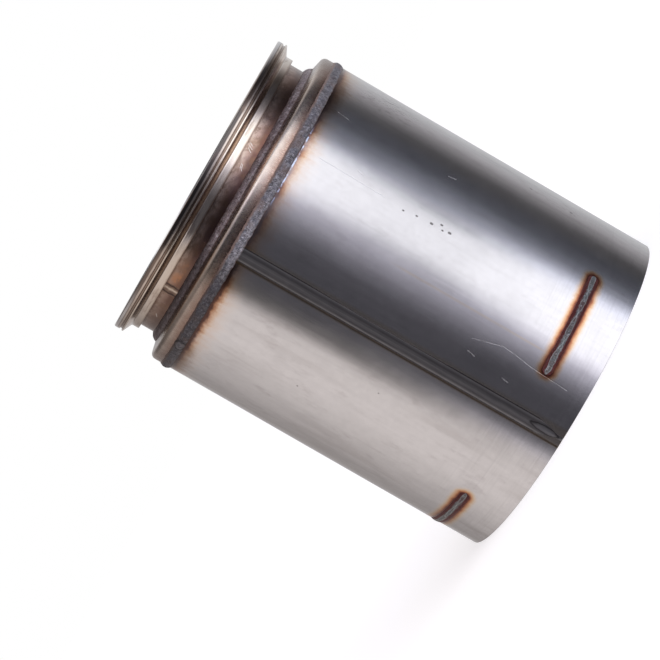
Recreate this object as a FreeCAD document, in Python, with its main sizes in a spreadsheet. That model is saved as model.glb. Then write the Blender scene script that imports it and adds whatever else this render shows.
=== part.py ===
import FreeCAD, Part
import math
import os
import re
import Sketcher

# Diesel particulate filter canister, standing on its plain outlet end.
# The origin is the centre of the outlet rim and +Z runs up the gas axis to the inlet flange.
# Angles round the canister are counted from the -Y side towards +X.

DIMENSIONS = [
    ("block_radius", 142.875, "ceramic block"),
    ("block_length", 228.6, "ceramic block"),
    ("mat_wall", 5.625, "support mat between block and shell"),
    ("shell_wall", 1.5, "shell sheet"),
    ("outlet_collar", 29.5, "plain outlet end below the lower retaining ring"),
    ("seam_angle", -12.3, "place of the shell's long seam"),
    ("seam_gap", 3.0, "root gap of a long seam"),
    ("seam_width", 13.0, "flat bead of the shell's long seam"),
    ("seam_flank", 2.0, "sloped side of a long seam's flat bead"),
    ("seam_crown", 0.4, "height of a long seam's bead"),
    ("seam_start", 31.0, "outlet end of the raised seam bead"),
    ("stitch_count", 4, "stitch welds round the outlet end"),
    ("stitch_angle", 22.2, "middle of the first stitch weld"),
    ("stitch_half_arc", 19.2, "half the arc of a stitch weld"),
    ("stitch_width", 8.6, "stitch weld bead"),
    ("stitch_crown", 0.7, "height of a stitch weld's bead"),
    ("shoulder_rise", 19.1, "shoulder ring from its joint to its top"),
    ("shoulder_wall", 3.0, "pressed shoulder ring"),
    ("shoulder_slope", 13.0, "fall of the shoulder's face"),
    ("shoulder_bend", 5.0, "outside bend of the shoulder ring"),
    ("shoulder_bead_width", 9.6, "weld between shoulder ring and shell"),
    ("shoulder_bead_crown", 1.8, "height of that weld"),
    ("shoulder_step", 20.0, "step from the shell down to the neck"),
    ("neck_wall", 2.0, "neck strip"),
    ("neck_reach", 16.9, "bare neck between shoulder ring and flange"),
    ("neck_tail", 7.2, "neck below the top of the shoulder ring"),
    ("neck_seam_angle", -42.5, "place of the neck's seam"),
    ("neck_seam_width", 12.0, "bead of the neck's seam"),
    ("neck_bead_rise", 4.5, "leg of the neck weld up the neck"),
    ("neck_bead_spread", 6.6, "leg of the neck weld over the shoulder"),
    ("neck_bead_round", 11.5, "round face of the neck weld"),
    ("slip_fit", 0.1, "play of the neck in its two rings"),
    ("flange_height", 19.4, "inlet flange from hub end to face"),
    ("hub_wall", 4.0, "flange hub outside the neck"),
    ("rim_reach", 8.9, "back lip of the flange rim above the hub"),
    ("front_lip_drop", 0.5, "front lip below the back lip"),
    ("front_lip_width", 5.0, "front lip and its edge break"),
    ("edge_break", 0.8, "turned edge of the front lip"),
    ("rim_groove_depth", 1.7, "groove between the lips"),
    ("rim_groove_width", 2.4, "groove between the lips"),
    ("rim_groove_flank", 0.5, "slope of the groove's sides"),
    ("back_lip_width", 1.2, "back lip"),
    ("clamp_angle", 26.0, "slope that the clamp grips"),
    ("clamp_root", 1.5, "fillet at the foot of the clamp slope"),
    ("gasket_seat_width", 4.9, "gasket seat in the flange face"),
    ("gasket_depth", 1.2, "gasket seat"),
    ("neck_setback", 4.3, "neck end below the flange face"),
    ("flange_bead_rise", 2.4, "leg of the inside flange weld"),
    ("flange_bead_inset", 0.2, "toe of that weld short of the neck's bore"),
    ("retainer_height", 22.0, "retaining ring"),
    ("retainer_wall", 2.0, "retaining ring sheet"),
    ("retainer_overlap", 8.875, "flange of the retaining ring over the block"),
    ("retainer_play", 0.2, "retaining ring inside the shell"),
    ("seal_overlap", 6.375, "wire mesh over the face of the block"),
    ("seal_lip", 5.0, "wire mesh between block face and retainer"),
    ("seal_sleeve", 8.0, "wire mesh round the edge of the block"),
    ("skin_wall", 2.2, "cement skin round the block"),
    ("segment_count", 8, "ceramic segments on a diameter"),
    ("cement_joint", 1.0, "cement between two segments"),
    ("mat_joint_angle", 150.0, "place of the mat's joint"),
    ("mat_tongue", 40.0, "tongue at the mat's joint"),
    ("mat_tongue_width", 70.0, "tongue at the mat's joint"),
    ("mat_joint_gap", 1.5, "gap at the mat's joint"),
    ("cut_past", 5.0, "run of a cut past the metal"),
]

# Heights and radii that follow from the dimensions above.
FOLLOWS = {
    "shell_bore": "(block_radius + mat_wall)",
    "shell_radius": "(shell_bore + shell_wall)",
    "neck_radius": "(shell_radius - shoulder_step)",
    "retainer_base": "outlet_collar",
    "block_base": "(outlet_collar + retainer_height + seal_lip)",
    "block_top": "(block_base + block_length)",
    "shell_length": "(block_top + seal_lip + retainer_height)",
    "shoulder_top": "(shell_length + shoulder_rise)",
    "shoulder_fall": "tan(shoulder_slope)",
    "shoulder_depth": "(shoulder_wall / cos(shoulder_slope))",
    "slip_radius": "(neck_radius + slip_fit)",
    "neck_bore": "(neck_radius - neck_wall)",
    "flange_base": "(shoulder_top + neck_reach)",
    "flange_face": "(flange_base + flange_height)",
    "neck_foot": "(shoulder_top - neck_tail)",
    "neck_end": "(flange_face - neck_setback)",
    "hub_radius": "(neck_radius + hub_wall)",
    "rim_radius": "(hub_radius + rim_reach)",
    "front_lip_radius": "(rim_radius - front_lip_drop)",
    "rim_groove_radius": "(rim_radius - rim_groove_depth)",
    "gasket_radius": "(slip_radius + gasket_seat_width)",
    "rim_back": "(flange_face - front_lip_width - rim_groove_width - back_lip_width)",
    "vee_foot": "(rim_back - (rim_radius - hub_radius) * tan(clamp_angle))",
    "retainer_radius": "(shell_bore - retainer_play)",
    "retainer_bore": "(block_radius - retainer_overlap)",
    "seal_bore": "(block_radius - seal_overlap)",
    "stitch_height": "(retainer_base + retainer_height / 2)",
    "core_radius": "(block_radius - skin_wall)",
    "pitch": "((2 * core_radius + cement_joint) / segment_count)",
    "segment": "(pitch - cement_joint)",
    "mat_base": "(block_base + seal_sleeve)",
    "mat_top": "(block_top - seal_sleeve)",
    "mat_middle": "((mat_base + mat_top) / 2)",
}

doc = FreeCAD.newDocument("FilterCanister")
sheet = doc.addObject("Spreadsheet::Sheet", "Sizes")
for row, (name, size, meaning) in enumerate(DIMENSIONS, start=1):
    sheet.set(f"A{row}", meaning)
    sheet.set(f"B{row}", str(size))
    sheet.setAlias(f"B{row}", name)
doc.recompute()

ALIASES = {name for name, size, meaning in DIMENSIONS}

# How near an edge of a solid lies to the place that is worked out for it.
SAME_PLACE = 0.01


def bound(text):
    """The expression that FreeCAD keeps for a size written in the names above."""
    def full_name(match):
        word = match.group(0)
        if word in ALIASES:
            return f"Sizes.{word}"
        return bound(FOLLOWS[word]) if word in FOLLOWS else word
    return re.sub(r"[a-z_]+", full_name, text)


def value(text):
    return float(sheet.evalExpression(bound(text)))


def plane(body, role):
    return next(item for item in body.Origin.OriginFeatures if item.Role == role)


def outline(body, name, role, corners, arcs=None, shift=None, turn=None):
    """A closed outline in one of the body's planes, held by the coordinates of its corners.

    arcs gives, for an edge number, a radius and the side the arc bulges to:
    1 is the left of the direction of travel and -1 the right.
    An upright edge with the radius None is a half circle.
    shift is an offset along the plane's normal, and turn an angle about its upright axis.
    """
    arcs = arcs or {}
    sketch = body.newObject("Sketcher::SketchObject", name)
    sketch.AttachmentSupport = [(plane(body, role), "")]
    sketch.MapMode = "FlatFace"
    if turn:
        sketch.AttachmentOffset = FreeCAD.Placement(
            FreeCAD.Vector(0, 0, 0), FreeCAD.Rotation(FreeCAD.Vector(0, 1, 0), 10)
        )
        sketch.setExpression("AttachmentOffset.Rotation.Angle", bound(turn))
    if shift:
        sketch.setExpression("AttachmentOffset.Base.z", bound(shift))
    points = [FreeCAD.Vector(value(x), value(y), 0) for x, y in corners]
    ends = []
    for index, start in enumerate(points):
        finish = points[(index + 1) % len(points)]
        if index in arcs:
            radius, side = arcs[index]
            chord = finish - start
            left = FreeCAD.Vector(-chord.y, chord.x, 0).normalize()
            reach = value(radius) if radius else chord.Length / 2
            rise = reach - math.sqrt(max(reach ** 2 - (chord.Length / 2) ** 2, 0))
            crest = (start + finish) * 0.5 + left * (side * rise)
            edge = sketch.addGeometry(Part.Arc(start, crest, finish), False)
            forward = (sketch.getPoint(edge, 1) - start).Length < (sketch.getPoint(edge, 2) - start).Length
            ends.append((edge, 1, 2) if forward else (edge, 2, 1))
        else:
            edge = sketch.addGeometry(Part.LineSegment(start, finish), False)
            ends.append((edge, 1, 2))
    for index, (edge, first, last) in enumerate(ends):
        following, following_first, _ = ends[(index + 1) % len(ends)]
        sketch.addConstraint(Sketcher.Constraint("Coincident", edge, last, following, following_first))
        for axis, kind in ((0, "DistanceX"), (1, "DistanceY")):
            coordinate = points[index][axis]
            sketch.addConstraint(Sketcher.Constraint(kind, -1, 1, edge, first, coordinate))
            label = f"{'xy'[axis]}{index}"
            sketch.renameConstraint(sketch.ConstraintCount - 1, label)
            sketch.setExpression(f"Constraints.{label}", bound(corners[index][axis]))
        if index in arcs:
            radius = arcs[index][0]
            if radius:
                sketch.addConstraint(Sketcher.Constraint("Radius", edge, value(radius)))
            else:
                sketch.addConstraint(Sketcher.Constraint("DistanceX", -1, 1, edge, 3, points[index].x))
            sketch.renameConstraint(sketch.ConstraintCount - 1, f"round{index}")
            sketch.setExpression(f"Constraints.round{index}", bound(radius or corners[index][0]))
    return sketch


def turned(name, corners, arcs=None):
    """A body turned about Z from a section given as radius and height."""
    body = doc.addObject("PartDesign::Body", name)
    section = outline(body, f"{name}_section", "XZ_Plane", corners, arcs)
    ring = body.newObject("PartDesign::Revolution", f"{name}_turned")
    ring.Profile = section
    ring.ReferenceAxis = (section, ["V_Axis"])
    ring.Angle = 360
    doc.recompute()
    return body


def round_edge(body, radius, at_radius, at_height):
    """A fillet on the round edges of the body's tip at a given radius and height."""
    tip = body.Tip
    names = []
    for index, edge in enumerate(tip.Shape.Edges, start=1):
        curve = edge.Curve
        if not isinstance(curve, Part.Circle):
            continue
        same_radius = abs(curve.Radius - value(at_radius)) < SAME_PLACE
        if same_radius and abs(curve.Center.z - value(at_height)) < SAME_PLACE:
            names.append(f"Edge{index}")
    fillet = body.newObject("PartDesign::Fillet", f"{tip.Name}_bend")
    fillet.Base = (tip, names)
    fillet.setExpression("Radius", bound(radius))
    doc.recompute()
    return fillet


def pad(body, sketch, length):
    feature = body.newObject("PartDesign::Pad", f"{sketch.Name}_pad")
    feature.Profile = sketch
    feature.setExpression("Length", bound(length))
    doc.recompute()
    return feature


def cut_outward(body, sketch, length):
    """A pocket from the axis out through the wall, on the side the sketch's normal points to."""
    before = body.Shape.Volume
    feature = body.newObject("PartDesign::Pocket", f"{sketch.Name}_cut")
    feature.Profile = sketch
    feature.Reversed = True
    feature.setExpression("Length", bound(length))
    doc.recompute()
    if not body.Shape.Volume < before:
        raise RuntimeError(f"{sketch.Name} cuts nothing")
    return feature


def stand_at(item, height):
    item.setExpression("Placement.Base.z", bound(height))


def flip_at(item, height):
    """Turns a ring upside down so that its foot hangs from the given height."""
    item.Placement = FreeCAD.Placement(
        FreeCAD.Vector(0, 0, 0), FreeCAD.Rotation(FreeCAD.Vector(1, 0, 0), 180)
    )
    item.setExpression("Placement.Base.z", bound(height))


def turn_to(item, angle):
    item.Placement = FreeCAD.Placement(
        FreeCAD.Vector(0, 0, 0), FreeCAD.Rotation(FreeCAD.Vector(0, 0, 1), 10)
    )
    item.setExpression("Placement.Rotation.Angle", bound(angle))


sub_parts = []


def keep(item, label):
    item.Label = label
    sub_parts.append(item)


def stadium(body, name, turn=None):
    """The outline of a stitch weld seen along its radius."""
    half = "(shell_radius * sin(stitch_half_arc))"
    half_width = "(stitch_width / 2)"
    sketch = outline(
        body, name, "XZ_Plane",
        [
            (f"-{half}", f"stitch_height - {half_width}"),
            (half, f"stitch_height - {half_width}"),
            (half, f"stitch_height + {half_width}"),
            (f"-{half}", f"stitch_height + {half_width}"),
        ],
        {1: (None, -1), 3: (None, -1)},
        turn=turn,
    )
    return sketch


def seam_weld(name, angle, radius, bore, width, foot, top, bead_foot, bead_top):
    """A long butt weld: its root fills the gap in the sheet and its bead lies on the outside."""
    body = doc.addObject("PartDesign::Body", name)
    half_gap = "(seam_gap / 2)"
    half_width = f"({width} / 2)"
    root = outline(
        body, f"{name}_root", "XY_Plane",
        [
            (f"-{half_gap}", f"-sqrt({radius}^2 - {half_gap}^2)"),
            (half_gap, f"-sqrt({radius}^2 - {half_gap}^2)"),
            (half_gap, f"-sqrt({bore}^2 - {half_gap}^2)"),
            (f"-{half_gap}", f"-sqrt({bore}^2 - {half_gap}^2)"),
        ],
        {0: (radius, -1), 2: (bore, 1)},
        shift=foot,
    )
    pad(body, root, f"{top} - {foot}")
    edge = f"sqrt({radius}^2 - {half_width}^2)"
    half_flat = f"({half_width} - seam_flank)"
    bead = outline(
        body, f"{name}_bead", "XY_Plane",
        [
            (f"-{half_width}", f"-{edge}"),
            (half_width, f"-{edge}"),
            (half_flat, f"-({radius} + seam_crown)"),
            (f"-{half_flat}", f"-({radius} + seam_crown)"),
        ],
        {0: (radius, -1)},
        shift=bead_foot,
    )
    pad(body, bead, f"{bead_top} - {bead_foot}")
    turn_to(body, angle)
    keep(body, name)


# The shell is one sheet rolled round, open along its seam and at the stitch welds near the outlet.
shell = turned("shell", [
    ("shell_bore", "0"),
    ("shell_radius", "0"),
    ("shell_radius", "shell_length"),
    ("shell_bore", "shell_length"),
])
gap = outline(shell, "shell_gap", "XZ_Plane", [
    ("-seam_gap / 2", "-cut_past"), ("seam_gap / 2", "-cut_past"),
    ("seam_gap / 2", "shell_length + cut_past"), ("-seam_gap / 2", "shell_length + cut_past"),
], turn="seam_angle")
cut_outward(shell, gap, "shell_radius + cut_past")
slot = cut_outward(shell, stadium(shell, "stitch_slot", "stitch_angle"), "shell_radius + cut_past")
slots = shell.newObject("PartDesign::PolarPattern", "stitch_slots")
slots.Originals = [slot]
slots.Axis = (plane(shell, "Z_Axis"), [""])
slots.Angle = 360
slots.setExpression("Occurrences", bound("stitch_count"))
shell.Tip = slots
doc.recompute()
keep(shell, "shell")
seam_weld(
    "shell_seam_weld", "seam_angle", "shell_radius", "shell_bore", "seam_width",
    "0", "shell_length", "seam_start", "(shell_length - shoulder_bead_width / 2)",
)

# Each stitch weld is melted through the shell onto the retaining ring, with a low crown outside.
bead_round = "((stitch_width / 2)^2 + stitch_crown^2) / (2 * stitch_crown)"
stitch_ring = turned("stitch_ring", [
    ("retainer_radius", "stitch_height - stitch_width / 2"),
    ("shell_radius", "stitch_height - stitch_width / 2"),
    ("shell_radius", "stitch_height + stitch_width / 2"),
    ("retainer_radius", "stitch_height + stitch_width / 2"),
], {1: (bead_round, -1)})
for number in range(round(value("stitch_count"))):
    blank = doc.addObject("PartDesign::Body", f"stitch_blank_{number + 1}")
    pad(blank, stadium(blank, f"stitch_outline_{number + 1}"), "shell_radius + cut_past")
    turn_to(blank, f"stitch_angle + {number} * 360 / stitch_count")
    stitch = doc.addObject("Part::Common", f"stitch_weld_{number + 1}")
    stitch.Base = blank
    stitch.Tool = stitch_ring
    keep(stitch, f"stitch_weld_{number + 1}")

# The shoulder ring is pressed from sheet: a skirt as wide as the shell, a round bend and a sloping face.
shoulder = turned("shoulder_ring", [
    ("slip_radius", "shoulder_top - slip_fit * shoulder_fall - shoulder_depth"),
    ("shell_radius - shoulder_wall",
     "shoulder_top - (shell_radius - shoulder_wall - neck_radius) * shoulder_fall - shoulder_depth"),
    ("shell_radius - shoulder_wall", "shell_length"),
    ("shell_radius", "shell_length"),
    ("shell_radius", "shoulder_top - (shell_radius - neck_radius) * shoulder_fall"),
    ("slip_radius", "shoulder_top - slip_fit * shoulder_fall"),
])
round_edge(
    shoulder, "shoulder_bend", "shell_radius",
    "shoulder_top - (shell_radius - neck_radius) * shoulder_fall",
)
round_edge(
    shoulder, "shoulder_bend - shoulder_wall", "shell_radius - shoulder_wall",
    "shoulder_top - (shell_radius - shoulder_wall - neck_radius) * shoulder_fall - shoulder_depth",
)
keep(shoulder, "shoulder_ring")
keep(turned("shoulder_weld", [
    ("shell_radius", "shell_length - shoulder_bead_width / 2"),
    ("shell_radius", "shell_length + shoulder_bead_width / 2"),
], {
    0: ("((shoulder_bead_width / 2)^2 + shoulder_bead_crown^2) / (2 * shoulder_bead_crown)", -1),
}), "shoulder_weld")

# The neck is a strip rolled and butt welded, slipped through the shoulder ring and into the flange.
neck = turned("inlet_neck", [
    ("neck_bore", "neck_foot"),
    ("neck_radius", "neck_foot"),
    ("neck_radius", "neck_end"),
    ("neck_bore", "neck_end"),
])
gap = outline(neck, "neck_gap", "XZ_Plane", [
    ("-seam_gap / 2", "neck_foot - cut_past"), ("seam_gap / 2", "neck_foot - cut_past"),
    ("seam_gap / 2", "neck_end + cut_past"), ("-seam_gap / 2", "neck_end + cut_past"),
], turn="neck_seam_angle")
cut_outward(neck, gap, "neck_radius + cut_past")
keep(neck, "inlet_neck")
seam_weld(
    "neck_seam_weld", "neck_seam_angle", "neck_radius", "neck_bore", "neck_seam_width",
    "neck_foot", "neck_end", "(shoulder_top + neck_bead_rise)", "flange_base",
)
keep(turned("neck_weld", [
    ("neck_radius", "shoulder_top"),
    ("neck_radius + neck_bead_spread", "shoulder_top - neck_bead_spread * shoulder_fall"),
    ("neck_radius", "shoulder_top + neck_bead_rise"),
], {1: ("neck_bead_round", -1)}), "neck_weld")

# The inlet flange is turned: a hub over the neck, the slope that a clamp grips, two lips with a groove
# between them, and a shallow gasket seat in its face.
flange = turned("inlet_flange", [
    ("slip_radius", "flange_base"),
    ("hub_radius", "flange_base"),
    ("hub_radius", "vee_foot"),
    ("rim_radius", "rim_back"),
    ("rim_radius", "rim_back + back_lip_width"),
    ("rim_groove_radius", "rim_back + back_lip_width + rim_groove_flank"),
    ("rim_groove_radius", "flange_face - front_lip_width - rim_groove_flank"),
    ("front_lip_radius", "flange_face - front_lip_width"),
    ("front_lip_radius", "flange_face - edge_break"),
    ("front_lip_radius - edge_break", "flange_face"),
    ("gasket_radius", "flange_face"),
    ("gasket_radius", "flange_face - gasket_depth"),
    ("slip_radius", "flange_face - gasket_depth"),
])
round_edge(flange, "clamp_root", "hub_radius", "vee_foot")
keep(flange, "inlet_flange")
keep(turned("flange_weld", [
    ("neck_bore + flange_bead_inset", "neck_end"),
    ("neck_radius", "neck_end"),
    ("slip_radius", "neck_end"),
    ("slip_radius", "neck_end + flange_bead_rise"),
]), "flange_weld")


def retaining_ring(name):
    """An angle ring rolled from strip: a skirt along the shell and a flange in front of the mesh seal."""
    return turned(name, [
        ("retainer_radius - retainer_wall", "0"),
        ("retainer_radius", "0"),
        ("retainer_radius", "retainer_height"),
        ("retainer_bore", "retainer_height"),
        ("retainer_bore", "retainer_height - retainer_wall"),
        ("retainer_radius - retainer_wall", "retainer_height - retainer_wall"),
    ])


def mesh_seal(name):
    """A knitted wire ring: a lip under the face of the block and a sleeve round its edge."""
    return turned(name, [
        ("seal_bore", "0"),
        ("shell_bore", "0"),
        ("shell_bore", "seal_lip + seal_sleeve"),
        ("block_radius", "seal_lip + seal_sleeve"),
        ("block_radius", "seal_lip"),
        ("seal_bore", "seal_lip"),
    ])


outlet_retainer = retaining_ring("outlet_retaining_ring")
stand_at(outlet_retainer, "retainer_base")
keep(outlet_retainer, "outlet_retaining_ring")
inlet_retainer = retaining_ring("inlet_retaining_ring")
flip_at(inlet_retainer, "shell_length")
keep(inlet_retainer, "inlet_retaining_ring")
outlet_seal = mesh_seal("outlet_mesh_seal")
stand_at(outlet_seal, "retainer_base + retainer_height")
keep(outlet_seal, "outlet_mesh_seal")
inlet_seal = mesh_seal("inlet_mesh_seal")
flip_at(inlet_seal, "shell_length - retainer_height")
keep(inlet_seal, "inlet_mesh_seal")

# The support mat is one sheet of fibre wrapped round the block, its ends meeting in a tongue and a groove.
mat = turned("support_mat", [
    ("block_radius", "mat_base"),
    ("shell_bore", "mat_base"),
    ("shell_bore", "mat_top"),
    ("block_radius", "mat_top"),
])
low = "mat_middle - mat_tongue_width / 2"
high = "mat_middle + mat_tongue_width / 2"
side = "mat_joint_gap / 2"
tongue = outline(mat, "mat_joint", "XZ_Plane", [
    (f"-{side}", "mat_base - cut_past"), (side, "mat_base - cut_past"),
    (side, f"{low} - {side}"), (f"mat_tongue + {side}", f"{low} - {side}"),
    (f"mat_tongue + {side}", f"{high} + {side}"), (side, f"{high} + {side}"),
    (side, "mat_top + cut_past"), (f"-{side}", "mat_top + cut_past"),
    (f"-{side}", f"{high} - {side}"), (f"mat_tongue - {side}", f"{high} - {side}"),
    (f"mat_tongue - {side}", f"{low} + {side}"), (f"-{side}", f"{low} + {side}"),
], turn="mat_joint_angle")
cut_outward(mat, tongue, "shell_radius")
keep(mat, "support_mat")

# The block: square ceramic segments in rows, cemented side by side, cut round and coated with a cement skin.
core = doc.addObject("Part::Cylinder", "core")
core.setExpression("Radius", bound("core_radius"))
core.setExpression("Height", bound("block_length"))
stand_at(core, "block_base")
skin = turned("block_skin", [
    ("core_radius", "block_base"), ("block_radius", "block_base"),
    ("block_radius", "block_top"), ("core_radius", "block_top"),
])
keep(skin, "block_skin")


def segments_in_row(row, across):
    """How many segments of a row reach inside the round core."""
    middle = (across - 1) / 2
    half = value("segment") / 2
    step = value("pitch")
    nearest = max(abs(row - middle) * step - half, 0)
    reach = math.sqrt(value("core_radius") ** 2 - nearest ** 2)
    reach = reach - value("cement_joint") / 2
    return sum(abs(column - middle) * step - half < reach for column in range(across))


across = round(value("segment_count"))
row_bars = []
for row in range(across):
    count = segments_in_row(row, across)
    bars = doc.addObject("PartDesign::Body", f"row_bars_{row + 1}")
    first = f"(-({count} - 1) / 2 * pitch)"
    centre = f"(({row} - (segment_count - 1) / 2) * pitch)"
    square = outline(bars, f"row_square_{row + 1}", "XY_Plane", [
        (f"{first} - segment / 2", f"{centre} - segment / 2"),
        (f"{first} + segment / 2", f"{centre} - segment / 2"),
        (f"{first} + segment / 2", f"{centre} + segment / 2"),
        (f"{first} - segment / 2", f"{centre} + segment / 2"),
    ], shift="block_base")
    bar = pad(bars, square, "block_length")
    pattern = bars.newObject("PartDesign::LinearPattern", f"row_pattern_{row + 1}")
    pattern.Originals = [bar]
    pattern.Direction = (square, ["H_Axis"])
    pattern.Mode = "Spacing"
    pattern.setExpression("Offset", bound("pitch"))
    pattern.Occurrences = count
    bars.Tip = pattern
    doc.recompute()
    row_bars.append(bars)
    segments = doc.addObject("Part::Common", f"segment_row_{row + 1}")
    segments.Base = bars
    segments.Tool = core
    keep(segments, f"segment_row_{row + 1}")

all_bars = doc.addObject("Part::Compound", "all_bars")
all_bars.Links = row_bars
cement = doc.addObject("Part::Cut", "segment_cement")
cement.Base = core
cement.Tool = all_bars
keep(cement, "segment_cement")

doc.recompute()

for item in doc.Objects:
    if "Invalid" in item.State or "Error" in item.State:
        raise RuntimeError(f"{item.Label} did not build: {item.State}")
for item in sub_parts:
    if item.Shape.isNull() or not item.Shape.isValid():
        raise RuntimeError(f"{item.Label} has no sound shape")

os.makedirs("parts", exist_ok=True)
for item in sub_parts:
    item.Shape.exportStep(f"parts/{item.Label}.step")
    print(f"{item.Label}: {len(item.Shape.Solids)} solids, {item.Shape.Volume / 1000:.2f} cm3")
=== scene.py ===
import math

import bmesh
import bpy
import numpy as np
from mathutils import Matrix, Vector


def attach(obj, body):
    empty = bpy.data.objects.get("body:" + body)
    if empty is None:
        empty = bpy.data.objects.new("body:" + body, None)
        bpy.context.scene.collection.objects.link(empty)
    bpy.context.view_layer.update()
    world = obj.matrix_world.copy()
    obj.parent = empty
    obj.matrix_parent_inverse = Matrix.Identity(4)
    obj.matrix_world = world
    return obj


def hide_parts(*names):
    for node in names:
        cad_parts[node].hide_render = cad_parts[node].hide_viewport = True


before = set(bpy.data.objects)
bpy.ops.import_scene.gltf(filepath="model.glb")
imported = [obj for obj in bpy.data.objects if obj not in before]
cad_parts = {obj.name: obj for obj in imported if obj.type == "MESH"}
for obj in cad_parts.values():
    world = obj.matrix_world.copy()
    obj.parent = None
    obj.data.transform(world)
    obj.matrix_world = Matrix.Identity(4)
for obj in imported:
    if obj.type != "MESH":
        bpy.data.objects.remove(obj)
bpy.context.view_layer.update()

# The studio: a pale table top, an even white background and a long softbox on the right, with dark
# cloth beside it. The polished steel shows these as the bright and dark bands along the canister.

scene = bpy.context.scene
scene.view_settings.view_transform = "Standard"


def feed(tree, value, socket):
    """Puts a field, a colour or a plain number into a socket."""
    if isinstance(value, (Field, Paint)):
        value = value.source
    if isinstance(value, bpy.types.NodeSocket):
        tree.links.new(value, socket)
    else:
        socket.default_value = value


class Field:
    """A number that varies over a surface or with a direction."""

    def __init__(self, tree, source):
        self.tree = tree
        self.source = source

    def op(self, operation, *others):
        node = self.tree.nodes.new("ShaderNodeMath")
        node.operation = operation
        for value, socket in zip((self, *others), node.inputs):
            feed(self.tree, value, socket)
        return Field(self.tree, node.outputs[0])

    def __add__(self, other):
        return self.op("ADD", other)

    def __sub__(self, other):
        return self.op("SUBTRACT", other)

    def __mul__(self, other):
        return self.op("MULTIPLY", other)

    def __truediv__(self, other):
        return self.op("DIVIDE", other)

    def __pow__(self, other):
        return self.op("POWER", other)

    def __neg__(self):
        return self * -1.0

    def __rsub__(self, other):
        return -self + other

    __radd__ = __add__
    __rmul__ = __mul__

    def held(self):
        """This number kept between 0 and 1."""
        return self.op("MAXIMUM", 0.0).op("MINIMUM", 1.0)

    def rise(self, start, end):
        """0 before start and 1 after end, with a smooth passage."""
        node = self.tree.nodes.new("ShaderNodeMapRange")
        node.interpolation_type = "SMOOTHSTEP"
        for value, socket in zip((self, start, end), node.inputs):
            feed(self.tree, value, socket)
        return Field(self.tree, node.outputs[0])

    def band(self, start, end, soft):
        """1 between start and end and 0 outside."""
        return self.rise(start - soft, start + soft) * (1.0 - self.rise(end - soft, end + soft))

    def peak(self, middle, width):
        """A round peak of height 1."""
        away = (self - middle) / width
        return (away * away * -1.0).op("EXPONENT")

    def turned_from(self, angle):
        """An angle in degrees measured from another, between -180 and 180."""
        return (self - (angle - 180.0)).op("FLOORED_MODULO", 360.0) - 180.0


class Paint:
    """A colour that varies over a surface."""

    def __init__(self, tree, source):
        self.tree = tree
        self.source = source

    def over(self, amount, colour):
        """This colour with another, a paint or three numbers, laid over it."""
        node = self.tree.nodes.new("ShaderNodeMix")
        node.data_type = "RGBA"
        feed(self.tree, amount, node.inputs["Factor"])
        feed(self.tree, self, node.inputs[6])
        feed(self.tree, colour if isinstance(colour, Paint) else (*colour, 1.0), node.inputs[7])
        return Paint(self.tree, node.outputs[2])


def combined(tree, x, y, z):
    node = tree.nodes.new("ShaderNodeCombineXYZ")
    for value, socket in zip((x, y, z), node.inputs):
        feed(tree, value, socket)
    return node.outputs[0]


def split(tree, vector):
    node = tree.nodes.new("ShaderNodeSeparateXYZ")
    tree.links.new(vector, node.inputs[0])
    return [Field(tree, output) for output in node.outputs]


def noise(tree, x, y, z, detail=2.0, roughness=0.5):
    """Cloudy noise between 0 and 1 over three measures."""
    node = tree.nodes.new("ShaderNodeTexNoise")
    feed(tree, combined(tree, x, y, z), node.inputs["Vector"])
    for name, value in (("Scale", 1.0), ("Detail", detail), ("Roughness", roughness)):
        node.inputs[name].default_value = value
    return Field(tree, node.outputs["Fac"])


EYE = Vector((0.0, -2.5335, 0.3754))
AIM = Vector((-0.0523, 0.0, 0.2027))
ROLL = math.radians(60.03)

ahead = (AIM - EYE).normalized()
level = ahead.cross(Vector((0.0, 0.0, 1.0))).normalized()
above = level.cross(ahead)
right = level * math.cos(ROLL) - above * math.sin(ROLL)
up = level * math.sin(ROLL) + above * math.cos(ROLL)
camera_data = bpy.data.cameras.new("camera")
camera_data.lens = 158.72
camera_data.sensor_width = 36.0
camera = bpy.data.objects.new("camera", camera_data)
camera.matrix_world = Matrix.Translation(EYE) @ Matrix((right, up, -ahead)).transposed().to_4x4()
scene.collection.objects.link(camera)
scene.camera = camera

# Bearing in degrees from the camera's side, the brightness from there on, the softness of the edge, and
# how far the edge moves in: the softbox's edges at its waist, the left wall's edge above the table.
ROOM_FAR_SIDE = 0.70
ROOM_WALLS = [
    (-166.0, 0.34, 10.0, 0.0),
    (-132.0, 0.50, 12.0, 0.0),
    (-110.0, 0.64, 8.0, 0.0),
    (-92.0, 0.76, 8.0, 0.0),
    (-38.0, 0.068, 4.0, -14.0),
    (3.0, 0.195, 6.0, 0.0),
    (13.0, 0.47, 5.0, 0.0),
    (23.0, 1.42, 4.0, 10.0),
    (74.0, 0.34, 5.0, -14.0),
    (77.0, 0.20, 6.0, 0.0),
    (87.0, 0.072, 7.0, 0.0),
    (120.0, 0.26, 7.0, 0.0),
    (133.0, 0.50, 8.0, 0.0),
    (150.0, 0.62, 9.0, 0.0),
    (168.0, 0.70, 10.0, 0.0),
]
WAIST_ELEVATION = -4.6
WAIST_HEIGHT = 1.9
CEILING = 0.42
SOFTBOX_OVERHEAD = 1.5
SOFT_FILL = 0.78
# Bearing and softness at which each tint takes over from the one before.
ROOM_TINTS = [
    (-166.0, 10.0, (1.06, 0.97, 0.945)),
    (-41.0, 7.0, (1.0, 0.965, 1.13)),
    (27.0, 7.0, (1.0, 0.995, 1.05)),
    (67.0, 7.0, (0.95, 0.985, 1.20)),
    (104.0, 6.0, (1.0, 0.955, 1.0)),
    (140.0, 10.0, (1.0, 1.0, 1.03)),
]
FAR_SIDE_TINT = (1.0, 1.0, 1.03)

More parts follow.
